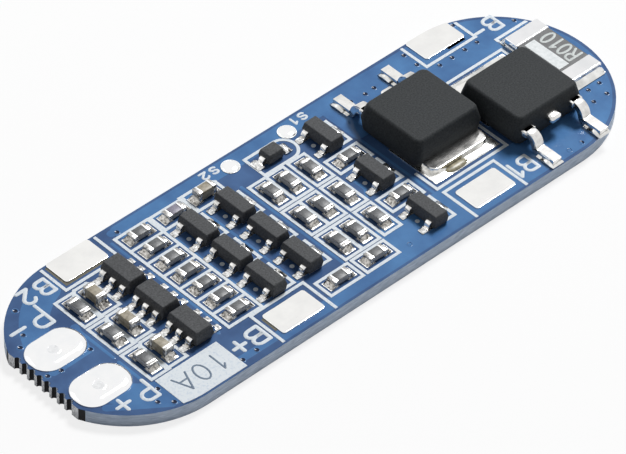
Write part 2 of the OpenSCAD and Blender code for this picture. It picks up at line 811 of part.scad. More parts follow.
circuit_board();
silkscreen_legend();
component_lands();
solder_fillets();
output_pad_minus();
output_pad_plus();
battery_pad_plus();
battery_pad_1();
battery_pad_2();
battery_pad_minus();
transistor_leads();
cell_chip_leads();
sense_resistor();
sense_resistor_ends();
diode();
diode_leads();
for (i = [1:len(resistors)])
    chip_resistor(resistors[i - 1]);
for (i = [1:len(capacitors)])
    chip_capacitor(capacitors[i - 1]);
for (i = [1:len(transistors)])
    transistor(transistors[i - 1]);
for (i = [1:len(cell_chips)])
    cell_chip(cell_chips[i - 1]);
for (i = [1:len(power_places)])
    power_transistor(power_places[i - 1]);
for (i = [1:len(power_places)])
    power_leadframe(power_places[i - 1]);
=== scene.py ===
# %% [markdown]
# # A small battery management board
#
# The board keeps the cells of a battery pack from being charged or drained
# too far. It is a strip of blue laminate with two power transistors, three
# cell chips, nine small transistors, a sense resistor and rows of chips.
# This script dresses the imported model: it keeps each sub-part where the
# frame has it, and models the rounded edges, bent leads, solder and ink
# that make a real board look real.
#
# The frame is loaded first, because every place in this file is read from
# it.

import math
import random

import bmesh
import bpy
from mathutils import Matrix, Vector


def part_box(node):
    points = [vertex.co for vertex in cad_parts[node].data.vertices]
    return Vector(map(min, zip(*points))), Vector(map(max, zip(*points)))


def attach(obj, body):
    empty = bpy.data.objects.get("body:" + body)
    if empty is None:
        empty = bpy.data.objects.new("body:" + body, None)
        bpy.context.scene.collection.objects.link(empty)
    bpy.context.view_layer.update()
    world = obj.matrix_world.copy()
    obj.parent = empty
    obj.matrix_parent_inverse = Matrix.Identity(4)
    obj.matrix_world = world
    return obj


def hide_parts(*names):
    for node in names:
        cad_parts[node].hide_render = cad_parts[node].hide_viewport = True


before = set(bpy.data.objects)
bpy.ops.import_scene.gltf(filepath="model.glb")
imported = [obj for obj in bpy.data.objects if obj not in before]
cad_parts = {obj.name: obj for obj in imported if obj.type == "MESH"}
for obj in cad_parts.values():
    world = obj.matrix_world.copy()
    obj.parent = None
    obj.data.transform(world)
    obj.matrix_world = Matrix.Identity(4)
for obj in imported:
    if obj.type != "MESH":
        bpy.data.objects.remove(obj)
scene = bpy.context.scene
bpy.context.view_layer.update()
node_names = sorted(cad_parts)
print("nodes in the frame:", len(node_names))

# %% [markdown]
# ## Working in millimetres
#
# Blender's unit is the metre, but parts this small read better in
# millimetres, so each shape is drawn in them and shrunk once, when it
# becomes an object. The heights used everywhere are the tops of the
# laminate, of the copper lands under the parts and of the print.

# %% Units and heights
MM = 0.001


def box_mm(node):
    """Lowest and highest corner of a sub-part, in millimetres."""
    return tuple(Vector(corner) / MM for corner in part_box(node))


board_low, board_high = box_mm("circuit_board")
BOARD_TOP = board_high.z
LAND_TOP = box_mm("component_lands")[1].z
PRINT_TOP = box_mm("silkscreen_legend")[1].z
print("board", [round(v, 2) for v in board_high - board_low],
      "land top", round(LAND_TOP, 3), "print top", round(PRINT_TOP, 3))

# %% [markdown]
# ## Camera and light
#
# A product shot of a board this size is taken from well back with a long
# lens, so its edges stay almost parallel. The camera looks along the board
# from its snapped end and leans a little. Camera and lamps are placed by a
# direction and a distance, which are easy to check.

# %% Camera
CAMERA_AIM = Vector((-1.998, -1.171, 1.0)) * MM
CAMERA_AWAY = 326.577 * MM
LENS, SENSOR_WIDTH, NEAREST_SEEN = 280.64, 36.0, 0.01


def add_object(name, data):
    made = bpy.data.objects.new(name, data)
    scene.collection.objects.link(made)
    return made


def spin_z(degrees):
    return Matrix.Rotation(math.radians(degrees), 4, "Z")


def aimed(aim, away, azimuth, elevation, lean=0.0):
    """The place of a camera or a lamp that looks at a point from a distance."""
    a, e = math.radians(azimuth), math.radians(elevation)
    out = Vector((math.cos(a) * math.cos(e), math.sin(a) * math.cos(e), math.sin(e)))
    facing = out.to_track_quat("Z", "Y").to_matrix().to_4x4()
    return Matrix.Translation(aim + out * away) @ facing @ spin_z(lean)


camera_data = bpy.data.cameras.new("camera")
camera_data.lens = LENS
camera_data.sensor_width = SENSOR_WIDTH
camera_data.sensor_fit = "HORIZONTAL"
camera_data.clip_start = NEAREST_SEEN
camera = add_object("camera", camera_data)
camera.matrix_world = aimed(CAMERA_AIM, CAMERA_AWAY, azimuth=224.88, elevation=43.238, lean=2.194)
scene.camera = camera
print("camera at", [round(v, 4) for v in camera.matrix_world.translation])

# %% [markdown]
# The key light is a soft box high above the sense resistor's end. It leaves
# the near faces of the black parts dark and draws short soft shadows towards
# the snapped end. A lamp of power P at a distance d lights a face square to
# it to P / (pi * pi * d * d) of full white, which gives the power here.

# %% Lamps
LAMP_AWAY = 0.6


def soft_box(name, azimuth, elevation, size, share):
    """A square area lamp that lights the board's top to a share of white."""
    lamp = bpy.data.lights.new(name, "AREA")
    lamp.size = size
    lamp.energy = share * math.pi ** 2 * LAMP_AWAY ** 2 / math.sin(math.radians(elevation))
    add_object(name, lamp).matrix_world = aimed(Vector(), LAMP_AWAY, azimuth, elevation)
    print(name, "energy", round(lamp.energy, 3))


soft_box("key_light", azimuth=21, elevation=53, size=0.16, share=0.77)
soft_box("side_light", azimuth=125, elevation=35, size=0.4, share=0.03)

# %% [markdown]
# The room is white to the eye and in reflections, as a light tent is, but
# sheds only a soft grey light, so that the lamps still model the shapes. The
# Light Path node tells these rays apart. The table uses it in the same way.

# %% Room
ROOM_GLOW, TENT_WHITE = 0.16, 0.94
GLOW_COLOUR, WHITE = (0.97, 0.98, 1.0, 1.0), (1.0, 1.0, 1.0, 1.0)


def feed(tree, socket, value):
    """Links a node's output to a socket, or sets the socket to a plain value."""
    if isinstance(value, bpy.types.NodeSocket):
        tree.links.new(value, socket)
    else:
        socket.default_value = value


def outputs_of(tree, kind, **inputs):
    """The outputs of a new node whose inputs are fed by their names."""
    node = tree.nodes.new("ShaderNode" + kind)
    for name, value in inputs.items():
        feed(tree, node.inputs[name.replace("_", " ")], value)
    return node.outputs


def math_node(tree, operation, *values):
    """The result of a Math node on sockets or plain numbers."""
    node = tree.nodes.new("ShaderNodeMath")
    node.operation = operation
    for socket, value in zip(node.inputs, values):
        feed(tree, socket, value)
    return node.outputs[0]


def looked_at(tree):
    """1 for the rays that the eye follows: straight, mirrored or through."""
    rays = outputs_of(tree, "LightPath")
    seen = math_node(tree, "MAXIMUM", rays["Is Camera Ray"], rays["Is Glossy Ray"])
    return math_node(tree, "MAXIMUM", seen, rays["Is Transmission Ray"])


def mix_shaders(tree, share, first, second, output):
    """Sends the first shader to the surface, or the second where share is 1."""
    mix = tree.nodes.new("ShaderNodeMixShader")
    for socket, source in zip(mix.inputs, (share, first, second)):
        feed(tree, socket, source)
    tree.links.new(mix.outputs[0], output.inputs["Surface"])


world = bpy.data.worlds.new("light_tent")
scene.world = world
world.use_nodes = True
room = world.node_tree
room.nodes.clear()
glow = outputs_of(room, "Background", Color=GLOW_COLOUR, Strength=ROOM_GLOW)[0]
white = outputs_of(room, "Background", Color=WHITE, Strength=TENT_WHITE)[0]
mix_shaders(room, looked_at(room), glow, white, room.nodes.new("ShaderNodeOutputWorld"))
scene.view_settings.view_transform = "Standard"
print("room glow", ROOM_GLOW)

# %% [markdown]
# ## Helpers for finishes
#
# Every finish is a Principled shader with noise on Object coordinates, so
# its spots have their real size wherever the piece lies. The helpers mix two
# colours or two numbers by the noise, or raise it as a bump.


# %% Finish helpers
def finish(name, colour, roughness, **sockets):
    """A new material with the values that are the same all over it."""
    made = bpy.data.materials.new(name)
    made.use_nodes = True
    shader = shader_of(made)
    shader.inputs["Base Color"].default_value = (*colour, 1)
    shader.inputs["Roughness"].default_value = roughness
    for socket, value in sockets.items():
        shader.inputs[socket.replace("_", " ")].default_value = value
    return made


def shader_of(material):
    return material.node_tree.nodes["Principled BSDF"]


def drive(material, source, socket="Base Color"):
    material.node_tree.links.new(source, shader_of(material).inputs[socket])


def here(material):
    """The Object coordinates of the surface."""
    return outputs_of(material.node_tree, "TexCoord")["Object"]


def grain(material, size_mm, detail=3.0, stretch=(1, 1, 1)):
    """Noise whose spots are about size_mm across, from 0 to 1."""
    tree = material.node_tree
    place = outputs_of(tree, "Mapping", Vector=here(material), Scale=stretch)[0]
    return outputs_of(tree, "TexNoise", Vector=place, Scale=1 / (size_mm * MM), Detail=detail)["Fac"]


def between(material, pattern, low, high, dark, light):
    """A colour that goes from dark to light as a pattern goes from low to high."""
    tree = material.node_tree
    ramp = tree.nodes.new("ShaderNodeValToRGB")
    for stop, place, colour in zip(ramp.color_ramp.elements, (low, high), (dark, light)):
        stop.position = place
        stop.color = (*colour, 1)
    tree.links.new(pattern, ramp.inputs["Fac"])
    return ramp.outputs["Color"]


def value_between(material, pattern, low, high, start, end):
    """A number that goes from start to end as a pattern goes from low to high."""
    return outputs_of(material.node_tree, "MapRange", Value=pattern, From_Min=low, From_Max=high,
                      To_Min=start, To_Max=end)["Result"]


def roughen(material, size_mm, height_mm, detail=3.0):
    """Raises the surface in spots of a size, as a bump of a real height."""
    bump = outputs_of(material.node_tree, "Bump", Distance=height_mm * MM,
                      Height=grain(material, size_mm, detail))
    drive(material, bump["Normal"], "Normal")


def mottled(name, roughness, spots_mm, dark, light, drift=(0.3, 0.7), detail=3.0, **sockets):
    """A finish whose colour drifts between two tones in spots of a size."""
    made = finish(name, light, roughness, **sockets)
    drive(made, between(made, grain(made, spots_mm, detail), *drift, dark, light))
    return made


# %% [markdown]
# ## Board finish
#
# The board is glass cloth in resin, with glossy blue solder mask baked on
# both faces, which looks clearer over copper. The cut edge is dull and shows
# the cloth in thin layers. Their pale blue-grey is partly painted light: the
# bluish fill light on the cut edge is painted into its colour. One material
# does both, because the Geometry node's normal says which way a face looks.

# %% Blue mask
OVER_COPPER = (0.054, 0.145, 0.340), (0.086, 0.228, 0.475)
OVER_LAMINATE = (0.040, 0.088, 0.215), (0.068, 0.148, 0.325)
OVER_HOLE = (0.004, 0.010, 0.036), (0.010, 0.024, 0.070)
MASK_GLOSS = 0.15


def blue_mask(name, tones):
    """Solder mask between two tones, which depend on what lies under it."""
    made = mottled(name, MASK_GLOSS, 2.2, *tones, drift=(0.3, 0.72), detail=4.0,
                   Specular_IOR_Level=0.2)
    roughen(made, 0.28, 0.004, detail=2.0)
    return made


track_finish = blue_mask("mask_over_copper", OVER_COPPER)
via_finish = blue_mask("mask_over_hole", OVER_HOLE)
print("mask gloss", MASK_GLOSS)

# %% [markdown]
# At the snapped end the drilled bites are painted near black inside, as
# painted shade in their hollows, and the glass torn between them is pale.
# Both are told apart by how far they lie along x.

# %% Cut laminate
SNAP_X = board_low.x * MM
BITE_DEEP, TORN_SKIN = 0.00024, 0.00002
# Near-black painted shade for the inside of the drilled bites.
BITE_PAINTED_SHADE = (0.012, 0.012, 0.014, 1)
TORN_GLASS = (0.40, 0.41, 0.44), (0.86, 0.87, 0.88)
# Layers of the cloth, brightened and tinted blue as painted fill light on the cut edge.
CLOTH_LAYERS_AND_PAINTED_FILL = (0.36, 0.44, 0.56), (0.58, 0.66, 0.78)
CUT_ROUGH, FACES_UP = 0.75, 0.5
COLOUR_A, COLOUR_B, COLOUR_OUT = 6, 7, 2  # the colour sockets of a Mix node


def choose(tree, share, first, second):
    """The second colour where share is 1, the first where it is 0."""
    mix = tree.nodes.new("ShaderNodeMix")
    mix.data_type = "RGBA"
    for socket, value in (("Factor", share), (COLOUR_A, first), (COLOUR_B, second)):
        feed(tree, mix.inputs[socket], value)
    return mix.outputs[COLOUR_OUT]


def snapped_colour(material, edge_colour):
    """Painted shade in the drilled bites, and pale torn glass at the snapped end."""
    tree = material.node_tree
    x = outputs_of(tree, "SeparateXYZ", Vector=here(material))["X"]
    in_bite = math_node(tree, "LESS_THAN", x, SNAP_X + BITE_DEEP)
    on_skin = math_node(tree, "LESS_THAN", x, SNAP_X + TORN_SKIN)
    torn = between(material, grain(material, 0.12), 0.3, 0.6, *TORN_GLASS)
    return choose(tree, on_skin, choose(tree, in_bite, edge_colour, BITE_PAINTED_SHADE), torn)


def cut_laminate():
    """The mask on the faces, and layers of glass cloth on the cut edge."""
    made = blue_mask("board_mask_and_laminate", OVER_LAMINATE)
    tree = made.node_tree
    mask_colour = shader_of(made).inputs["Base Color"].links[0].from_socket
    layers = grain(made, 0.25, detail=5.0, stretch=(0.35, 0.35, 2.6))
    edge_colour = between(made, layers, 0.32, 0.68, *CLOTH_LAYERS_AND_PAINTED_FILL)
    normal = outputs_of(tree, "NewGeometry")["Normal"]
    tilt = math_node(tree, "ABSOLUTE", outputs_of(tree, "SeparateXYZ", Vector=normal)["Z"])
    masked = math_node(tree, "GREATER_THAN", tilt, FACES_UP)
    drive(made, choose(tree, masked, snapped_colour(made, edge_colour), mask_colour))
    drive(made, value_between(made, masked, 0, 1, CUT_ROUGH, MASK_GLOSS), "Roughness")
    return made


board_finish = cut_laminate()
print("snapped end at", round(board_low.x, 2))

# %% [markdown]
# ## Ink, metal and moulding finishes
#
# White ink is a little uneven where it was pulled through the screen.

# %% Ink
ink_finish = mottled("legend_ink_white", 0.55, 0.16, (0.58, 0.66, 0.75), (0.74, 0.79, 0.83),
                     drift=(0.28, 0.5), detail=4.0, Specular_IOR_Level=0.3)
roughen(ink_finish, 0.1, 0.003)
rating_finish = mottled("rating_letters_slate", 0.5, 0.2, (0.05, 0.09, 0.15), (0.10, 0.16, 0.24))
print("inks", ink_finish.name, rating_finish.name)

# %% [markdown]
# Solder and tin are the same bright metal with different texture: solder
# pools are wavy, plated leads are satin, and hot-air levelled pads have a
# broad cloudiness. So one function makes them all, from two tones, a
# roughness, the width and height of the ripples, and the width of the clouds.
# The chips' solder and end caps get much darker tones. That is painted
# reflection: the dark bodies beside them are painted into the metal.


# %% Metals
def bright_metal(name, dark, light, roughness, ripple_mm, ripple_height, cloud_mm):
    """Tin or solder: cloudy brightness over a rippled surface."""
    made = finish(name, light, roughness, Metallic=1.0)
    cloud = grain(made, cloud_mm)
    drive(made, between(made, cloud, 0.3, 0.62, dark, light))
    dull, clear = roughness * 1.35, roughness * 0.75
    drive(made, value_between(made, cloud, 0.3, 0.7, dull, clear), "Roughness")
    roughen(made, ripple_mm, ripple_height, detail=2.0)
    return made


land_finish = bright_metal("tinned_land", (0.50, 0.50, 0.49), (0.90, 0.90, 0.88), 0.22, 0.4, 0.02, 0.3)
solder_finish = bright_metal("solder_pool", (0.30, 0.30, 0.29), (0.94, 0.94, 0.93), 0.16, 0.2, 0.025, 0.22)
# Chip solder: its near-black tone is painted reflection of the dark chip bodies, not the solder's own
# colour.
chip_solder_painted_reflections = bright_metal("chip_solder", (0.08, 0.075, 0.065), (0.60, 0.58, 0.55), 0.2, 0.16, 0.025, 0.17)
wide_solder = bright_metal("wide_solder", (0.60, 0.60, 0.58), (0.90, 0.90, 0.88), 0.12, 0.7, 0.012, 0.8)
output_tin = bright_metal("output_pad_tin", (0.93, 0.94, 0.95), (0.98, 0.98, 0.98), 0.05, 0.9, 0.003, 1.2)
pressed_tin = bright_metal("pressed_tin", (0.80, 0.81, 0.82), (0.92, 0.93, 0.94), 0.06, 0.3, 0.002, 0.3)
plate_tin = bright_metal("battery_pad_tin", (0.88, 0.875, 0.86), (0.95, 0.945, 0.925), 0.05, 1.1, 0.003, 1.4)
lead_finish = bright_metal("lead_tin", (0.56, 0.55, 0.53), (0.88, 0.87, 0.85), 0.14, 0.9, 0.012, 0.8)
cap_finish = bright_metal("cap_tin", (0.80, 0.81, 0.82), (0.90, 0.90, 0.91), 0.06, 1.4, 0.003, 1.6)
# Chip end caps: tin painted dark grey in patches, as painted reflection of the dark chip bodies.
chip_end_painted_reflections = bright_metal("chip_end_tin_painted_reflections", (0.09, 0.087, 0.08), (0.52, 0.51, 0.50), 0.25, 0.16, 0.02, 0.2)
lip_finish = bright_metal("chip_end_lip", (0.80, 0.80, 0.79), (0.97, 0.97, 0.96), 0.3, 0.2, 0.005, 0.3)
print("metals ready")

# %% [markdown]
# Epoxy mouldings are nearly black, dull, and finely pitted by the tool that
# shaped them. The chips' coat is dark glass over a slip of alumina, and a
# capacitor is bare brown ceramic.


# %% Mouldings and ceramics
def epoxy(name, dark, light):
    """Filled epoxy, dull and finely pitted by the mould."""
    made = mottled(name, 0.6, 0.12, dark, light, drift=(0.3, 0.75), detail=5.0,
                   Specular_IOR_Level=0.12)
    roughen(made, 0.09, 0.010)
    return made


power_moulding = epoxy("power_moulding", (0.021, 0.024, 0.026), (0.046, 0.050, 0.053))
small_moulding = epoxy("small_moulding", (0.055, 0.057, 0.060), (0.118, 0.122, 0.128))
glaze_finish = mottled("resistor_glaze", 0.42, 0.15, (0.055, 0.058, 0.062), (0.135, 0.140, 0.147))
roughen(glaze_finish, 0.2, 0.01)
lilac_finish = mottled("resistor_glaze_pale", 0.42, 0.15, (0.15, 0.14, 0.19), (0.28, 0.26, 0.33))
# The alumina is painted mid grey instead of its own white, as painted shade on the chips' sides.
alumina_shaded_finish = mottled("alumina_painted_shade", 0.55, 0.12, (0.26, 0.26, 0.26), (0.42, 0.42, 0.42))
capacitor_finish = mottled("capacitor_ceramic", 0.42, 0.25, (0.19, 0.165, 0.115),
                           (0.40, 0.355, 0.27), detail=4.0)
roughen(capacitor_finish, 0.1, 0.006)
print("materials:", len(bpy.data.materials))

# %% [markdown]
# ## Helpers for shapes
#
# Each shape is made in a small mesh of its own, standing on zero at the
# origin, then joined to its piece with one matrix for its place. A brick
# with rounded edges is the start of most parts: a cube, scaled, with its
# edges bevelled. `keep` turns a finished mesh into an object, in metres.

# %% Shape helpers
NEAR = 1e-3


def as_mesh(name, shape):
    mesh = bpy.data.meshes.new(name)
    shape.to_mesh(mesh)
    shape.free()
    return mesh


def keep(name, shape, finishes, stands_for=(), sharp=40, place=Matrix()):
    """Makes a piece of a mesh drawn in millimetres, riding on the board."""
    shape.transform(place)
    shape.transform(Matrix.Scale(MM, 4))
    mesh = as_mesh(name, shape)
    for material in finishes:
        mesh.materials.append(material)
    mesh.shade_smooth()
    mesh.set_sharp_from_angle(angle=math.radians(sharp))
    made = add_object(name, mesh)
    made.modifiers.new("flat_faces_stay_flat", "WEIGHTED_NORMAL").keep_sharp = True
    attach(made, "root")
    if stands_for:
        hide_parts(*stands_for)


def join(piece, shape, place=Matrix(), paint=None):
    """Joins a shape to a piece at its place, in one of the piece's finishes."""
    if paint is not None:
        for face in shape.faces:
            face.material_index = paint
    shape.transform(place)
    carrier = as_mesh("carrier", shape)
    piece.from_mesh(carrier)
    bpy.data.meshes.remove(carrier)


def soften(shape, edges, offset, segments=2):
    bmesh.ops.bevel(shape, geom=list(edges), offset=offset, offset_type="OFFSET",
                    segments=segments, profile=0.5, affect="EDGES", material=-1,
                    clamp_overlap=True)


def brick(length, width, height, rounding=0.0, segments=2):
    """A block standing on zero, with its edges rounded."""
    shape = bmesh.new()
    bmesh.ops.create_cube(shape, size=1.0)
    bmesh.ops.translate(shape, vec=(0, 0, 0.5), verts=shape.verts)
    bmesh.ops.scale(shape, vec=(length, width, height), verts=shape.verts)
    if rounding:
        soften(shape, shape.edges, rounding, segments)
    return shape


def move(x, y, z=0.0):
    return Matrix.Translation((x, y, z))


def stand(node):
    """Where a sub-part stands, as the middle of its underside, and its size."""
    low, high = box_mm(node)
    middle = (low + high) / 2
    return move(middle.x, middle.y, low.z), high - low


def named(start):
    return [name for name in node_names if name.startswith(start)]


def uprights(shape):
    """The edges of a block that climb from its bottom to its top."""
    return [e for e in shape.edges if abs(e.verts[0].co.z - e.verts[1].co.z) > NEAR]


def rim_at(shape, z):
    """The edges that lie at a height."""
    return [e for e in shape.edges if all(abs(v.co.z - z) < NEAR for v in e.verts)]


def top_face(shape):
    return max(shape.faces, key=lambda f: f.calc_center_median().z)


def cut(shape, point, normal, drop_outer=False):
    """Cuts a mesh by a plane, and can drop what lies beyond it."""
    bmesh.ops.bisect_plane(shape, geom=shape.verts[:] + shape.edges[:] + shape.faces[:], dist=1e-4,
                           plane_co=point, plane_no=normal, clear_outer=drop_outer)
    if drop_outer:
        bmesh.ops.holes_fill(shape, edges=shape.edges, sides=0)


print("shape helpers ready")

# %% [markdown]
# ## The board and its printed copper
#
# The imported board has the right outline, snapped edge and bites, so it only
# takes its finish. The copper beneath the mask shows as faint raised lines
# in a lighter blue. Each is a stroke: a curve along its middle with a round
# bevel, turned into a mesh and pressed flat. Its radius shrinks to nothing
# in a few last points, because ink and etched copper have round ends too.

# %% Strokes
ROUND_END = [(1.0, 0.0), (0.87, 0.5), (0.5, 0.87)]  # how far out, and how thick
THIN_END, STROKE_ROUNDNESS = 0.02, 2


def stroke_points(line, half):
    """Points of a stroke with the radius at each, ends rounded off."""
    points = [Vector(p) for p in line]
    start = (points[0] - points[1]).normalized()
    end = (points[-1] - points[-2]).normalized()
    head = [(points[0] + start * half * out, size) for out, size in ROUND_END]
    tail = [(points[-1] + end * half * out, size) for out, size in reversed(ROUND_END)]
    return head + [(p, 1.0) for p in points] + tail


def strokes(lines, width, height):
    """A mesh of flattened round strokes of one width, lying on zero."""
    curve = bpy.data.curves.new("strokes", "CURVE")
    curve.dimensions = "3D"
    curve.bevel_depth = width / 2
    curve.bevel_resolution = STROKE_ROUNDNESS
    for line in lines:
        points = stroke_points(line, width / 2)
        spline = curve.splines.new("POLY")
        spline.points.add(len(points) - 1)
        for target, (place, size) in zip(spline.points, points):
            target.co = (place.x, place.y, 0, 1)
            target.radius = max(size, THIN_END)
    holder = bpy.data.objects.new("strokes", curve)
    mesh = bpy.data.meshes.new_from_object(holder)
    bpy.data.objects.remove(holder)
    bpy.data.curves.remove(curve)
    shape = bmesh.new()
    shape.from_mesh(mesh)
    bpy.data.meshes.remove(mesh)
    bmesh.ops.remove_doubles(shape, verts=shape.verts, dist=width * 0.01)
    bmesh.ops.holes_fill(shape, edges=shape.edges, sides=0)
    bmesh.ops.scale(shape, vec=(1, 1, 2 * height / width), verts=shape.verts)
    bmesh.ops.recalc_face_normals(shape, faces=shape.faces)
    return shape


# %% [markdown]
# The round stretches of letters and pours are short runs of points on an
# ellipse, which a stroke then follows.

# %% Arcs
ARC_STEPS = 8


def arc(x, y, across, tall, start, end):
    """Points on part of an ellipse, from one angle to another in degrees."""
    angles = [math.radians(start + (end - start) * i / ARC_STEPS) for i in range(ARC_STEPS + 1)]
    return [(x + across * math.cos(a), y + tall * math.sin(a)) for a in angles]


# %% [markdown]
# The tracks run where copper would join the parts: two wide ones along the
# long edges for the current, and narrow ones between the rows for signals.

# %% Board and tracks
ON_BOARD = move(0, 0, BOARD_TOP)
WIDE_TRACK, NARROW_TRACK, TRACK_RISE = 0.62, 0.24, 0.008
WIDE_TRACKS = [
    [(-12.5, 7.35), (8.0, 7.35)],
    [(-23.6, -4.6), (-20.2, -7.1), (13.0, -7.3)],
    [(11.0, 7.2), (11.9, 6.3), (14.6, 6.3)],
    [(19.6, 4.0), (19.6, 6.2), (21.3, 5.8)],
    [(19.2, -5.2), (21.6, -4.4), (23.9, -2.6)],
    [(-24.0, 0.1), (-21.0, 0.1), (-20.2, 2.3)],
]
NARROW_TRACKS = [
    [(-12.0, 6.75), (-3.2, 6.75)],
    [(-1.0, 6.9), (2.2, 6.9)],
    [(4.2, 6.9), (7.6, 6.9), (8.6, 6.0)],
    [(-13.1, 6.6), (-13.1, 4.4)],
    [(-13.0, 3.0), (-13.0, -3.6), (-13.6, -4.4)],
    [(-9.6, 5.2), (-9.6, -4.6)],
    [(-6.4, 5.2), (-6.4, -4.6)],
    [(-2.9, 4.9), (-2.9, -5.0)],
    [(6.4, 5.2), (6.4, -6.6)],
    [(2.6, -3.6), (2.6, -6.6)],
    [(-8.0, 6.9), (-8.0, 7.1)],
    [(-16.3, 4.7), (-13.6, 4.7)],
    [(-20.2, 1.7), (-20.2, -1.5)],
    [(-20.2, -2.0), (-20.2, -4.2)],
    [(3.2, 0.9), (3.2, -0.8), (2.6, -1.6)],
]
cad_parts["circuit_board"].data.materials[0] = board_finish
tracks = strokes(WIDE_TRACKS, WIDE_TRACK, TRACK_RISE)
join(tracks, strokes(NARROW_TRACKS, NARROW_TRACK, TRACK_RISE))
keep("copper_tracks", tracks, [track_finish], sharp=80, place=ON_BOARD)
print("tracks", len(WIDE_TRACKS) + len(NARROW_TRACKS))

# %% [markdown]
# Where the copper is left whole, as along both edges, the mask looks a
# clearer blue. Most pours are thin plates with round corners, which differ a
# hair in height where they cross. Half a disc fills the sense resistor's
# end, and two very wide strokes follow the curve of the snapped one.

# %% Copper pours
POUR_RISE, POUR_STEP, POUR_CORNER = 0.006, 0.001, 0.4
POURS = [(-12.4, 12.0, 6.45, 7.8), (-11.0, 12.0, -7.8, -6.75), (6.2, 17.5, 3.0, 7.75),
         (0.6, 17.5, -7.75, -4.2)]
BOARD_END_R = board_high.y
END_POUR_R, END_POUR_CUT = BOARD_END_R - 0.25, 0.2
PAD_POUR_R, PAD_POUR_WIDE = 6.6, 2.0
PAD_POURS = [(110, 158), (200, 248)]
pours = bmesh.new()
for level, (x0, x1, y0, y1) in enumerate(POURS):
    plate = brick(x1 - x0, y1 - y0, POUR_RISE + POUR_STEP * level)
    soften(plate, uprights(plate), POUR_CORNER, 4)
    join(pours, plate, move((x0 + x1) / 2, (y0 + y1) / 2))
end_plate = bmesh.new()
bmesh.ops.create_cone(end_plate, segments=96, radius1=END_POUR_R, radius2=END_POUR_R,
                      depth=2 * POUR_RISE, cap_ends=True)
cut(end_plate, (END_POUR_CUT, 0, 0), (-1, 0, 0), drop_outer=True)
join(pours, end_plate, move(board_high.x - BOARD_END_R, 0))
pad_arcs = [arc(board_low.x + BOARD_END_R, 0, PAD_POUR_R, PAD_POUR_R, *angles) for angles in PAD_POURS]
join(pours, strokes(pad_arcs, PAD_POUR_WIDE, POUR_RISE))
keep("copper_pours", pours, [track_finish], place=ON_BOARD)
print("pours", len(POURS) + len(PAD_POURS) + 1)

# %% [markdown]
# Vias join the copper of the two faces. Here the mask covers them, so each
# is a ring a hair above the board round a dimple that looks almost black.
# A flat cone is the ring, and its top is inset and pushed back down.

# %% Covered vias
VIA_R, VIA_HOLE_R, VIA_RISE = 0.26, 0.17, 0.022
DIMPLE_EDGE, DIMPLE_SINK = 0.02, 0.6
VIA_PLACES = [
    (14.7, 4.8), (15.85, 4.8), (17.05, 4.8), (18.3, 4.8), (19.5, 4.8), (14.7, 5.9),
    (14.7, 7.2), (19.5, 7.2), (9.9, 6.1), (10.8, 6.15), (8.6, 6.2), (21.7, -3.9),
    (22.8, -3.9), (21.1, -5.0), (22.4, -5.0), (16.3, -7.35), (17.5, -7.35), (23.1, 4.7),
    (1.65, -6.7), (-12.1, 7.2), (-22.1, 6.05), (-24.1, 3.25), (-23.2, 4.0), (-20.8, 0.1),
    (-23.5, -0.1), (-24.5, 0.1), (-20.8, -6.4), (-20.0, -5.5), (-20.0, -7.1),
    (-14.1, -7.25), (-12.8, -7.2),
]


def eyelet(radius, hole, rise):
    """A low ring in the first finish round a dimple in the second."""
    shape = bmesh.new()
    crest = radius - 2 * rise
    bmesh.ops.create_cone(shape, segments=24, radius1=radius, radius2=crest, depth=rise, cap_ends=True)
    bmesh.ops.translate(shape, vec=(0, 0, rise / 2), verts=shape.verts)
    top = top_face(shape)
    bmesh.ops.inset_region(shape, faces=[top], thickness=crest - hole, depth=0.0)
    bmesh.ops.inset_region(shape, faces=[top], thickness=DIMPLE_EDGE, depth=-DIMPLE_SINK * rise)
    for face in shape.faces:
        inside = all(v.co.xy.length < hole + NEAR for v in face.verts)
        face.material_index = int(inside and face.calc_center_median().z > rise / 4)
    return shape


vias = bmesh.new()
for x, y in VIA_PLACES:
    join(vias, eyelet(VIA_R, VIA_HOLE_R, VIA_RISE), move(x, y, BOARD_TOP))
keep("covered_vias", vias, [track_finish, via_finish])
print("vias", len(VIA_PLACES))

# %% [markdown]
# ## Ink
#
# The legend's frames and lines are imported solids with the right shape, so
# they stay. The terminal marks are added as strokes: plain functional
# letters, signs and numbers. Each is a few lines and arcs in a unit square,
# placed by its centre, size and turn.

# %% Letter shapes
STEM = [(0, 0), (0, 1)]
TOP_BOWL = [(0, 1), *arc(0.55, 0.75, 0.42, 0.25, 90, -90), (0, 0.5)]
LETTERS = {
    "P": [STEM, TOP_BOWL],
    "B": [STEM, TOP_BOWL, [(0, 0.5), *arc(0.58, 0.25, 0.42, 0.25, 90, -90), (0, 0)]],
    "R": [STEM, TOP_BOWL, [(0.5, 0.5), (1, 0)]],
    "S": [arc(0.5, 0.75, 0.48, 0.25, 25, 270) + arc(0.5, 0.25, 0.48, 0.25, 90, -155)],
    "A": [[(0, 0), (0.5, 1)], [(0.5, 1), (1, 0)], [(0.2, 0.36), (0.8, 0.36)]],
    "0": [arc(0.5, 0.5, 0.48, 0.5, 90, 270), arc(0.5, 0.5, 0.48, 0.5, 90, -90)],
    "1": [[(0.1, 0.76), (0.5, 1)], [(0.5, 1), (0.5, 0)]],
    "2": [arc(0.5, 0.72, 0.48, 0.28, 165, -35) + [(0, 0)], [(0, 0), (1, 0)]],
    "+": [[(0, 0.5), (1, 0.5)], [(0.5, 0), (0.5, 1)]],
    "-": [[(0, 0.5), (1, 0.5)]],
}


def letter_lines(sign, x, y, width, height, turn):
    """The lines of a letter round its centre, turned by whole degrees."""
    c, s = math.cos(math.radians(turn)), math.sin(math.radians(turn))
    out = []
    for line in LETTERS[sign]:
        local = [((u - 0.5) * width, (v - 0.5) * height) for u, v in line]
        out.append([(x + c * u - s * v, y + s * u + c * v) for u, v in local])
    return out


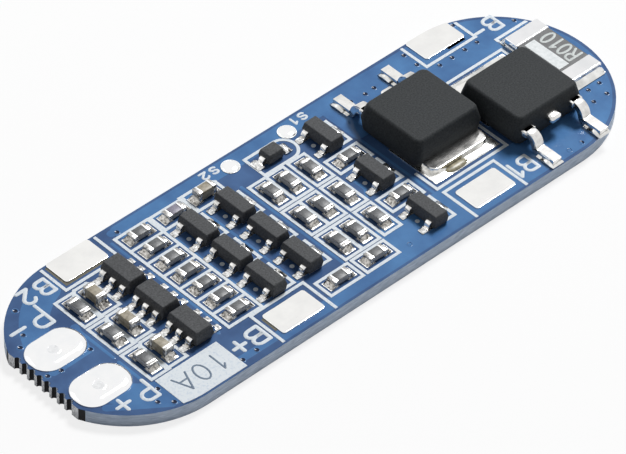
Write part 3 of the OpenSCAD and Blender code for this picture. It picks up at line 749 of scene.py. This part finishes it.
def mark_lines(marks, turn):
    """The lines of several letters, each with its centre and its size."""
    return [line for mark in marks for line in letter_lines(*mark, turn)]


print("letters", len(LETTERS))

# %% [markdown]
# The marks stand beside their pads, upside down as seen from the board's
# front edge. The two test pads are named in smaller and finer letters.

# %% Terminal marks
INK_RISE = PRINT_TOP - BOARD_TOP
UPSIDE_DOWN = 180
MARK_STROKE, FINE_STROKE = 0.29, 0.2
MARKS = [
    ("P", -21.4, 4.6, 1.15, 1.95), ("-", -23.2, 4.5, 1.15, 1.0),
    ("P", -20.75, -5.1, 1.05, 1.75), ("+", -22.6, -5.1, 1.05, 1.05),
    ("B", -19.2, 6.47, 0.95, 1.35), ("2", -20.65, 6.5, 0.85, 1.3),
    ("B", -11.9, -6.25, 1.15, 1.45), ("+", -13.4, -6.2, 1.0, 1.0),
    ("B", 13.17, -6.35, 0.9, 1.45), ("1", 12.0, -6.35, 0.9, 1.45),
    ("B", 21.7, 5.5, 0.95, 1.35), ("-", 20.35, 5.45, 0.85, 1.0),
]
TEST_MARKS = [
    ("S", -3.15, 7.35, 0.5, 0.62), ("2", -4.0, 7.35, 0.5, 0.62),
    ("S", 5.1, 7.35, 0.5, 0.62), ("1", 4.25, 7.35, 0.5, 0.62),
]
marks = strokes(mark_lines(MARKS, UPSIDE_DOWN), MARK_STROKE, INK_RISE)
join(marks, strokes(mark_lines(TEST_MARKS, UPSIDE_DOWN), FINE_STROKE, INK_RISE))
keep("terminal_marks", marks, [ink_finish], sharp=80, place=ON_BOARD)
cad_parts["silkscreen_legend"].data.materials[0] = ink_finish
print("marks", len(MARKS) + len(TEST_MARKS))

# %% [markdown]
# The rating sits on a solid white field, in slim slate strokes that are
# printed over it.

# %% Rating
RATING = [("1", -15.45, -6.3, 0.7, 1.5), ("0", -16.85, -6.3, 0.95, 1.5), ("A", -18.25, -6.3, 1.15, 1.5)]
RATING_STROKE, RATING_RISE = 0.15, 0.012
rating = strokes(mark_lines(RATING, UPSIDE_DOWN), RATING_STROKE, RATING_RISE)
keep("rating_letters", rating, [rating_finish], sharp=80, place=move(0, 0, PRINT_TOP))
print("rating signs", len(RATING))

# %% [markdown]
# ## Wire pads
#
# The two output pads are heavily tinned: a low crown of solder, with a faint
# dimple where a probe has pressed. A brick with very round corners gives the
# outline. Its top is inset again and again, each ring a little higher, which
# lays a smooth crown over any outline.

# %% Output pads
OUTPUT_CORNER, OUTPUT_WALL = 1.38, 0.08
CROWN_RINGS, CROWN_REACH, CROWN_FLATNESS = 8, 0.6, 6
PROBE_R, PROBE_HOLE_R, PROBE_RISE, PROBE_SINK = 0.58, 0.4, 0.008, 0.002
PROBE_OFF = -0.3, -0.08
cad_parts["component_lands"].data.materials[0] = land_finish


def crowned(length, width, corner, wall, crown):
    """A tinned pad: a low wall, then rings that climb to a crown."""
    shape = brick(length, width, wall)
    soften(shape, uprights(shape), corner, 12)
    top = top_face(shape)
    height = 0.0
    for ring in range(1, CROWN_RINGS + 1):
        inward = CROWN_REACH * ring / CROWN_RINGS
        target = crown * (1 - (1 - inward) ** CROWN_FLATNESS)
        bmesh.ops.inset_region(shape, faces=[top], thickness=CROWN_REACH * width / 2 / CROWN_RINGS,
                               depth=target - height)
        height = target
    return shape


for name in ("output_pad_minus", "output_pad_plus"):
    place, size = stand(name)
    pad = crowned(size.x, size.y, OUTPUT_CORNER, OUTPUT_WALL, size.z - OUTPUT_WALL)
    join(pad, eyelet(PROBE_R, PROBE_HOLE_R, PROBE_RISE), move(*PROBE_OFF, size.z - PROBE_SINK))
    keep(name.replace("pad", "tinning"), pad, [output_tin, pressed_tin],
         stands_for=[name], sharp=60, place=place)
    print(name, "size", [round(v, 2) for v in size])

# %% [markdown]
# The battery pads are flat plates of tinned copper. Two of them run out at
# the board's edge, and the imported solids have that outline, so copies are
# merged into flat faces and bevelled at the rim. Beneath each lies a dark
# plate, partly the bare laminate of the mask opening and partly painted
# shadow: it is set a little off, so that it shows as a dark line on two sides
# only, where the pad's cast shadow is painted onto the board.

# %% Battery pads
PLATE_RIM = 0.04
SHADOW_SLIP, OPENING_SHADOW_WIDE, OPENING_SHADOW_RISE = 0.18, 2.2, 0.006
# Dark olive plate under each pad: bare laminate colour, and painted shadow of the pad.
opening_and_shadow_finish = mottled("bare_laminate_and_painted_shadow", 0.6, 0.2, (0.05, 0.045, 0.03), (0.12, 0.11, 0.07))


def merged_copy(node):
    """A packed sub-part's mesh in millimetres, its flat faces in one piece."""
    shape = bmesh.new()
    shape.from_mesh(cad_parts[node].data)
    shape.transform(Matrix.Scale(1 / MM, 4))
    bmesh.ops.remove_doubles(shape, verts=shape.verts, dist=NEAR)
    bmesh.ops.dissolve_limit(shape, angle_limit=math.radians(1), verts=shape.verts, edges=shape.edges)
    return shape


openings_and_shadows = bmesh.new()
for name in named("battery_pad"):
    low, high = box_mm(name)
    pad = merged_copy(name)
    soften(pad, rim_at(pad, high.z), PLATE_RIM, 3)
    keep(name.replace("pad", "plate"), pad, [plate_tin], stands_for=[name])
    # Shifted by the slip, so that the dark edge shows only on the shadow side, as painted shadow.
    wide = min(high.y - low.y, OPENING_SHADOW_WIDE)
    join(openings_and_shadows, brick(high.x - low.x, wide, OPENING_SHADOW_RISE),
         move((low.x + high.x) / 2 - SHADOW_SLIP, low.y + wide / 2 - SHADOW_SLIP, BOARD_TOP))
keep("mask_openings_and_painted_shadows", openings_and_shadows, [opening_and_shadow_finish])
print("battery pads", len(named("battery_pad")))

# %% [markdown]
# ## Solder
#
# Solder wets the metal and pulls up into a smooth hollow slope against it.
# A pool is a cube cut into a grid, whose height falls in a hollow curve
# along it and towards its sides. No two joints are alike, so each gets its
# own height and lean from a seeded draw.

# %% Solder pool
draw = random.Random(7)
POOL_CUTS, POOL_EDGE = 4, 0.012
HEIGHT_DRAW, LEAN_DRAW = (0.82, 1.12), (-0.18, 0.18)
SIDE_FALL, SIDE_CURVE, TIP_NARROWING = 0.62, 2.4, 0.12


def pool(length, width, height, peak=0.0, hollow=1.8):
    """A pool from x = 0 to length on zero, highest at a share of its length."""
    shape = bmesh.new()
    bmesh.ops.create_cube(shape, size=1.0)
    bmesh.ops.subdivide_edges(shape, edges=shape.edges[:], cuts=POOL_CUTS, use_grid_fill=True)
    rise = height * draw.uniform(*HEIGHT_DRAW)
    lean = draw.uniform(*LEAN_DRAW)
    for v in shape.verts:
        along, across, lift = v.co.x + 0.5, 2 * v.co.y, v.co.z + 0.5
        away = (along - peak) / (1 - peak) if along > peak else (peak - along) / max(peak, 0.01)
        slope = max(0.0, 1 - away) ** hollow
        side = (1 - SIDE_FALL * abs(across) ** SIDE_CURVE) * (1 + lean * across)
        narrow = 1 - TIP_NARROWING * away ** 3
        v.co = (length * along, across * width / 2 * narrow, lift * (rise * slope * side + POOL_EDGE))
    return shape


print("grid points on a pool's side", (POOL_CUTS + 2) ** 2)

# %% [markdown]
# ## Chip resistors and capacitors
#
# A chip resistor is a slip of alumina with a dark glass coat over its
# middle and a tin cap wrapped round each end. A chip capacitor is a solid
# brown block with the same caps. The caps are rounded bricks, a hair bigger
# than the block, with a raised lip where the plating starts. They are pieces
# of their own, because they take the finish of leads.

# %% Chip parts
CHIP_LONG, CHIP_WIDE = 1.6, 0.8
PLATING, CHIP_EDGE = 0.03, 0.03
CAP_LONG = 0.3
LIP_LONG, LIP_THICK, LIP_IN, LIP_SINK, LIP_OUT = 0.14, 0.07, 0.06, 0.045, 0.01
COAT_LONG, COAT_THICK, COAT_IN = 0.82, 0.07, 0.08


def chip_caps(height, rounding):
    """Both tin caps of a chip, with their lips."""
    shape = bmesh.new()
    for side in (-1, 1):
        cap = brick(CAP_LONG, CHIP_WIDE, height, rounding, 3)
        join(shape, cap, move(side * (CHIP_LONG - CAP_LONG) / 2, 0), paint=0)
        lip = brick(LIP_LONG, CHIP_WIDE - LIP_IN, LIP_THICK, CHIP_EDGE)
        out = side * (CHIP_LONG / 2 - CAP_LONG + LIP_OUT)
        join(shape, lip, move(out, 0, height - LIP_SINK), paint=1)
    return shape


def chip_block(height, rounding, segments):
    """The ceramic between the caps and inside their plating."""
    sizes = (full - 2 * PLATING for full in (CHIP_LONG, CHIP_WIDE, height))
    block = brick(*sizes, rounding, segments)
    block.transform(move(0, 0, PLATING))
    return block


def coated_slip(height):
    """The slip of alumina and the coat on it, in two finishes."""
    shape = chip_block(height, 0.02, 2)
    coat = brick(COAT_LONG, CHIP_WIDE - COAT_IN, COAT_THICK, CHIP_EDGE)
    join(shape, coat, move(0, 0, height - COAT_THICK), paint=1)
    return shape


print("chip", CHIP_LONG, "x", CHIP_WIDE)

# %% [markdown]
# Each chip stands where the frame has it, turned to its long side. One of
# the resistors has a paler coat than the rest. The solder pools of all the
# chips are one piece, as they are in the frame.

# %% Place the chips
CAP_ROUND = {"resistor": 0.05, "capacitor": 0.09}
SOLDER_CLIMB = {"resistor": 0.34, "capacitor": 0.45}
SOLDER_REACH, SOLDER_WIDE, SOLDER_TUCK = 0.37, 0.9, 0.02
PALE_RESISTOR = "chip_resistor_20"
chip_solder = bmesh.new()
for name in named("chip_"):
    place, size = stand(name)
    place = place @ spin_z(0 if size.x >= size.y else 90)
    kind, number = name.split("_")[1:]
    if kind == "resistor":
        body = coated_slip(size.z)
        finishes = [alumina_shaded_finish, lilac_finish if name == PALE_RESISTOR else glaze_finish]
        slot = "resistor_coating"
    else:
        body = chip_block(size.z, 0.05, 3)
        finishes, slot = [capacitor_finish], "capacitor_ceramic"
    keep(f"{kind}_body_{number}", body, finishes, stands_for=[name], place=place)
    keep(f"{kind}_ends_{number}", chip_caps(size.z, CAP_ROUND[kind]), [chip_end_painted_reflections, lip_finish],
         place=place)
    for turn in (0, 180):
        join(chip_solder, pool(SOLDER_REACH, SOLDER_WIDE, SOLDER_CLIMB[kind]),
             place @ spin_z(turn) @ move(CHIP_LONG / 2 - SOLDER_TUCK, 0))
keep("chip_solder", chip_solder, [chip_solder_painted_reflections], stands_for=["solder_fillets"], sharp=75)
print("chips", len(named("chip_")))

# %% [markdown]
# ## Moulded bodies
#
# Transistors and chips are moulded in two half shells, so their sides lean
# in above and below the line where the shells met. A cube is cut round at
# that line, its top and bottom are drawn in, then the upright corners are
# rounded, and last the rims.

# %% Moulded body
LOWER_DRAFT, UPPER_DRAFT = (math.tan(math.radians(a)) for a in (7, 13))


def moulded(length, width, height, parting, corner, rim):
    """A moulded epoxy body standing on zero."""
    shape = brick(length, width, height)
    cut(shape, (0, 0, parting), (0, 0, 1))
    insets = {height: 2 * (height - parting) * UPPER_DRAFT, 0.0: 2 * parting * LOWER_DRAFT}
    for level, inward in insets.items():
        ring = [v for v in shape.verts if abs(v.co.z - level) < NEAR]
        share = (length - inward) / length, (width - inward) / width, 1
        bmesh.ops.scale(shape, vec=share, verts=ring)
    soften(shape, uprights(shape), corner, 4)
    for level in insets:
        soften(shape, rim_at(shape, level), rim, 3)
    return shape


print("draft", round(LOWER_DRAFT, 3), round(UPPER_DRAFT, 3))

# %% [markdown]
# ## Bent leads
#
# A lead is stamped from a flat strip and bent twice, down to the board and
# out flat again, like a gull's wing. It is modelled the way it is made: a
# short edge is extruded along each run and spun round each bend. Then the
# strip gets its thickness and its edges are broken.


# %% Bent strip
BEND_STEPS, STAMPED_CORNER = 5, 60


def of_kind(geometry, kind):
    return [g for g in geometry if isinstance(g, kind)]


def bent_strip(width, thick, start, bend, runs, edge_round):
    """A strip from a point in the xz plane, as runs and the turn after each."""
    shape = bmesh.new()
    x, z = start
    edge = shape.edges.new([shape.verts.new((x, y, z)) for y in (-width / 2, width / 2)])
    heading = 0.0
    for length, turn in runs:
        grown = bmesh.ops.extrude_edge_only(shape, edges=[edge])["geom"]
        step = Vector((math.cos(heading), 0, -math.sin(heading))) * length
        bmesh.ops.translate(shape, vec=step, verts=of_kind(grown, bmesh.types.BMVert))
        edge = of_kind(grown, bmesh.types.BMEdge)[0]
        if turn:
            side = Vector((-math.sin(heading), 0, -math.cos(heading))) * math.copysign(bend, turn)
            middle = sum((v.co for v in edge.verts), Vector()) / 2 + side
            last = bmesh.ops.spin(shape, geom=[edge, *edge.verts], cent=middle, axis=(0, 1, 0),
                                  angle=turn, steps=BEND_STEPS, use_merge=False)["geom_last"]
            edge = of_kind(last, bmesh.types.BMEdge)[0]
            heading += turn
    bmesh.ops.recalc_face_normals(shape, faces=shape.faces)
    if sum(f.normal.z for f in shape.faces) > 0:
        bmesh.ops.reverse_faces(shape, faces=shape.faces[:])
    bmesh.ops.solidify(shape, geom=shape.faces[:], thickness=thick)
    bmesh.ops.recalc_face_normals(shape, faces=shape.faces)
    corners = [e for e in shape.edges
               if len(e.link_faces) == 2 and e.calc_face_angle(0) > math.radians(STAMPED_CORNER)]
    soften(shape, corners, edge_round, 2)
    return shape


def gull_lead(width, thick, face, embed, shoulder, bend, slope, exit_height, reach, edge_round):
    """A lead that leaves a body's face at a height and ends flat on zero."""
    drop = exit_height - thick / 2
    s = math.radians(slope)
    leg = (drop - 2 * bend * (1 - math.cos(s))) / math.sin(s)
    foot = reach - (shoulder + 2 * bend * math.sin(s) + leg * math.cos(s))
    runs = (embed + shoulder, s), (leg, -s), (foot, 0)
    return bent_strip(width, thick, (face - embed, drop), bend, runs, edge_round)


# %% [markdown]
# The small transistors, the cell chips and the diode differ in size and in
# the pins of their two sides, so one function makes all three kinds. Their
# sizes are the frame's. Each kind of pin has its own pool of solder, and
# those of the diode and of the transistors' lone pin are wider.

# %% Small packages
PACKAGE_RIM = 0.07
PIN_PITCH, PIN_WIDE, PIN_THICK = 0.95, 0.42, 0.14
PIN_BEND, PIN_SLOPE, PIN_EMBED = 0.12, 76, 0.2
THREE_PINS, OUTER_PINS, LONE_PIN = (-PIN_PITCH, 0, PIN_PITCH), (-PIN_PITCH, PIN_PITCH), (0,)
# Length, width, height, peak and hollow of a pool.
PIN_JOINT, LONE_JOINT = (0.55, 0.56, 0.17, 0.25, 1.5), (0.56, 1.05, 0.24, 0.25, 1.5)
DIODE_JOINT = (0.7, 1.0, 0.26, 0.3, 1.3)


def packages(kind, nodes, span, right, left, corner=0.08, shoulder=0.06, edge=0.035, tuck=0.2):
    """Bodies, leads and solder of one kind; a side is its pins and their joint."""
    leads, joints = bmesh.new(), bmesh.new()
    for node in nodes:
        place, size = stand(node)
        keep(node.replace(kind, kind + "_body"), moulded(*size, size.z / 2, corner, PACKAGE_RIM),
             [small_moulding], stands_for=[node], place=place)
        for turn, (pins, joint) in ((0, right), (180, left)):
            for y in pins:
                at = place @ spin_z(turn) @ move(0, y)
                lead = gull_lead(PIN_WIDE, PIN_THICK, size.x / 2, PIN_EMBED, shoulder, PIN_BEND,
                                 PIN_SLOPE, size.z / 2, (span - size.x) / 2, edge)
                join(leads, lead, at)
                join(joints, pool(*joint), at @ move(span / 2 - tuck, 0))
    keep(kind + "_lead_set", leads, [lead_finish], stands_for=[kind + "_leads"])
    keep(kind + "_solder", joints, [solder_finish], sharp=75)
    print(kind, len(nodes), "of", [round(v, 2) for v in size])


packages("transistor", named("transistor_0"), 2.4, (LONE_PIN, LONE_JOINT), (OUTER_PINS, PIN_JOINT))
packages("cell_chip", named("cell_chip_0"), 2.8, (THREE_PINS, PIN_JOINT), (THREE_PINS, PIN_JOINT))
packages("diode", ["diode"], 2.3, (LONE_PIN, DIODE_JOINT), (LONE_PIN, DIODE_JOINT),
         corner=0.1, shoulder=0.03, edge=0.03, tuck=0.25)

# %% [markdown]
# ## Power transistors
#
# The two switches carry the whole current. Each has a thick copper tab
# that comes out from under the body and is soldered down to a wide land,
# two wide leads on the other side, and a middle lead that was cut short,
# because it is the same metal as the tab.

# %% Power transistor parts
POWER_PITCH, POWER_PIN, POWER_ROOT, TAB_THICK = 2.285, 0.76, 1.05, 0.5
TAB_WIDE, TAB_REACH, TAB_CHAMFER = 5.3, 1.0, 0.6
POWER_EXIT, POWER_BEND, POWER_SLOPE = 1.15, 0.42, 70
POWER_EMBED, POWER_SHOULDER, POWER_REACH, POWER_STUB = 0.8, 0.2, 2.8, 0.5
POWER_EDGE, STUB_EDGE, STUB_EXTRA = 0.08, 0.24, 0.1
POWER_SLIM, POWER_CORNER, POWER_RIM = 0.2, 0.5, 0.2


def tab(half_body):
    """The soldered tab: a plate with its outer corners cut off."""
    long = half_body + TAB_REACH
    shape = brick(TAB_WIDE, long, TAB_THICK)
    bmesh.ops.translate(shape, vec=(0, -long / 2, 0), verts=shape.verts)
    outer = [e for e in uprights(shape) if e.verts[0].co.y < -long / 2]
    soften(shape, outer, TAB_CHAMFER, 3)
    soften(shape, rim_at(shape, TAB_THICK), POWER_EDGE, 2)
    return shape


def power_metal(half_body):
    """Tab, two bent leads with wider roots, and the cut lead."""
    shape = tab(half_body)
    inside = half_body - POWER_EMBED
    level = POWER_EXIT - TAB_THICK / 2
    for x in (-POWER_PITCH, POWER_PITCH):
        lead = gull_lead(POWER_PIN, TAB_THICK, half_body, POWER_EMBED, POWER_SHOULDER, POWER_BEND,
                         POWER_SLOPE, POWER_EXIT, POWER_REACH, POWER_EDGE)
        join(shape, lead, move(x, 0) @ spin_z(90))
        root = brick(POWER_ROOT, POWER_EMBED + POWER_SHOULDER, TAB_THICK, POWER_EDGE)
        join(shape, root, move(x, inside + (POWER_EMBED + POWER_SHOULDER) / 2, level))
    stub = brick(POWER_ROOT, POWER_EMBED + POWER_STUB, TAB_THICK + STUB_EXTRA, STUB_EDGE, 4)
    join(shape, stub, move(0, inside + (POWER_EMBED + POWER_STUB) / 2, level))
    return shape


print("tab", TAB_WIDE, "x", TAB_THICK)

# %% [markdown]
# The two stand head to tail. Which way each is turned is read from the side
# on which its packed leads reach further out.

# %% Place the power transistors
TAB_JOINT, TAB_TUCK = (0.64, TAB_WIDE + 0.7, 0.13, 0.0, 0.7), 0.02
TOE_JOINT, TOE_TUCK = (1.3, 1.2, 0.42, 0.5, 1.0), 1.15
power_joints = bmesh.new()
for node in named("power_transistor"):
    number = node[-2:]
    low, high = box_mm(node)
    metal_low, metal_high = box_mm("power_leadframe_" + number)
    turn = 0 if metal_high.y - high.y > low.y - metal_low.y else 180
    place, size = stand(node)
    place = place @ spin_z(turn)
    body = moulded(size.x - POWER_SLIM, size.y - POWER_SLIM, size.z, POWER_EXIT, POWER_CORNER, POWER_RIM)
    keep("power_body_" + number, body, [power_moulding], stands_for=[node],
         place=place)
    keep("power_metal_" + number, power_metal(size.y / 2), [lead_finish],
         stands_for=["power_leadframe_" + number], place=place)
    tip, toe = size.y / 2 + TAB_REACH, size.y / 2 + POWER_REACH
    join(power_joints, pool(*TAB_JOINT), place @ spin_z(-90) @ move(tip - TAB_TUCK, 0))
    for x in (-POWER_PITCH, POWER_PITCH):
        at = place @ move(x, 0) @ spin_z(90)
        join(power_joints, pool(*TOE_JOINT), at @ move(toe - TOE_TUCK, 0))
keep("power_solder", power_joints, [wide_solder], sharp=75)
print("power transistors", len(named("power_transistor")))

# %% [markdown]
# Flux boils out of the wide joint and dries into an olive stain in front of
# the first tab. It is half a ball, pressed flat and drawn out along the tab.

# %% Flux stain
FLUX_PLACE, FLUX_SIZE = (9.4, -3.32), (1.1, 0.4, 0.2)
flux_finish = mottled("dried_flux", 0.35, 0.3, (0.12, 0.105, 0.05), (0.42, 0.38, 0.26), detail=4.0)


def dome(radius, scale):
    """The upper half of a ball, pressed to a scale and standing on zero."""
    shape = bmesh.new()
    bmesh.ops.create_uvsphere(shape, u_segments=32, v_segments=16, radius=radius)
    cut(shape, (0, 0, 0), (0, 0, -1), drop_outer=True)
    bmesh.ops.scale(shape, vec=scale, verts=shape.verts)
    return shape


flux = dome(1.0, FLUX_SIZE)
keep("flux_stain", flux, [flux_finish], place=move(*FLUX_PLACE, LAND_TOP))
print("flux stain", FLUX_SIZE)

# %% [markdown]
# ## Sense resistor
#
# All the current also runs through this flat resistor. Its value is a
# hundredth of an ohm, and the chip reads the tiny voltage across it. It is
# a dark strip with broad tinned ends, a plain pale bar and its value code.

# %% Sense resistor
SENSE_END, SENSE_EDGE, STRIP_EDGE = 1.25, 0.1, 0.06
STRIP_IN, STRIP_OVERLAP, STRIP_SINK = 0.12, 0.1, 0.06
sense_glaze = mottled("sense_resistor_glaze", 0.45, 0.3, (0.030, 0.032, 0.034), (0.075, 0.078, 0.082))
place, size = stand("sense_resistor_ends")
ends = bmesh.new()
for side in (-1, 1):
    end = brick(size.x, SENSE_END, size.z, SENSE_EDGE, 3)
    join(ends, end, move(0, side * (size.y - SENSE_END) / 2))
keep("sense_resistor_caps", ends, [cap_finish], stands_for=["sense_resistor_ends"],
     place=place)
strip_long = size.y - 2 * SENSE_END + STRIP_OVERLAP
strip = brick(size.x - STRIP_IN, strip_long, size.z - STRIP_SINK, STRIP_EDGE, 3)
keep("sense_resistor_body", strip, [sense_glaze], stands_for=["sense_resistor"],
     place=place)
print("sense resistor", [round(v, 2) for v in size])

# %% [markdown]
# The bar and the code are printed on the strip. The code reads along the
# resistor, so its letters are turned by a quarter and set one by one.

# %% Sense resistor print and solder
BAR_WIDE, BAR_SHORT, BAR_X, BAR_SINK, BAR_EDGE = 0.95, 0.55, -0.62, 0.062, 0.004
VALUE, VALUE_PITCH, VALUE_X = "R010", 0.8, 0.72
VALUE_WIDE, VALUE_TALL, VALUE_STROKE, PRINT_RISE = 0.58, 1.25, 0.19, 0.012
SENSE_JOINT, SENSE_TUCK = (0.5, size.x + 0.1, 0.42, 0.0, 1.2), 0.02
bar_finish = mottled("pale_bar", 0.5, 0.25, (0.62, 0.66, 0.67), (0.78, 0.81, 0.82))
bar = brick(BAR_WIDE, strip_long - BAR_SHORT, PRINT_RISE, BAR_EDGE, 1)
keep("sense_resistor_bar", bar, [bar_finish],
     place=place @ move(BAR_X, 0, size.z - BAR_SINK))
value_finish = mottled("value_ink_grey", 0.5, 0.2, (0.42, 0.46, 0.45), (0.60, 0.64, 0.63))
value_marks = [(sign, VALUE_X, VALUE_PITCH * (i - (len(VALUE) - 1) / 2), VALUE_WIDE, VALUE_TALL)
               for i, sign in enumerate(VALUE)]
value = strokes(mark_lines(value_marks, 90), VALUE_STROKE, PRINT_RISE)
keep("sense_resistor_value", value, [value_finish], sharp=80,
     place=place @ move(0, 0, size.z - STRIP_SINK))
sense_joints = bmesh.new()
for turn in (90, 270):
    at = place @ spin_z(turn)
    join(sense_joints, pool(*SENSE_JOINT), at @ move(size.y / 2 - SENSE_TUCK, 0))
keep("sense_solder", sense_joints, [wide_solder], sharp=75)
print("value code", VALUE)

# %% [markdown]
# ## Test pads
#
# Two round pads take a thin dome of solder each, from the hot-air bath.

# %% Test pads
TEST_PADS = [(-2.071, 6.86), (3.180, 6.86)]
TEST_R, TEST_FLATNESS = 0.62, 0.22
domes = bmesh.new()
for x, y in TEST_PADS:
    join(domes, dome(TEST_R, (1, 1, TEST_FLATNESS)), move(x, y, LAND_TOP))
keep("test_pad_domes", domes, [output_tin], sharp=75)
print("test pads", len(TEST_PADS))

# %% [markdown]
# ## Table
#
# The board lies on a white sheet that keeps its soft shadow. For the rays
# that the eye follows, the sheet is mostly plain white, so the background
# stays clean.

# %% Floor
FLOOR_WHITE, FLOOR_SIZE, FLOOR_GAP = 0.8, 3.0, 0.00005
floor_finish = finish("white_sheet", (0.93, 0.93, 0.93), 0.9)
tree = floor_finish.node_tree
mix_shaders(tree, math_node(tree, "MULTIPLY", looked_at(tree), FLOOR_WHITE),
            shader_of(floor_finish).outputs[0], outputs_of(tree, "Emission")[0],
            tree.nodes["Material Output"])
sheet = bmesh.new()
bmesh.ops.create_grid(sheet, x_segments=2, y_segments=2, size=FLOOR_SIZE)
bmesh.ops.translate(sheet, vec=(0, 0, board_low.z * MM - FLOOR_GAP), verts=sheet.verts)
sheet_mesh = as_mesh("table", sheet)
sheet_mesh.materials.append(floor_finish)
add_object("table", sheet_mesh)
print("floor share of white", FLOOR_WHITE)
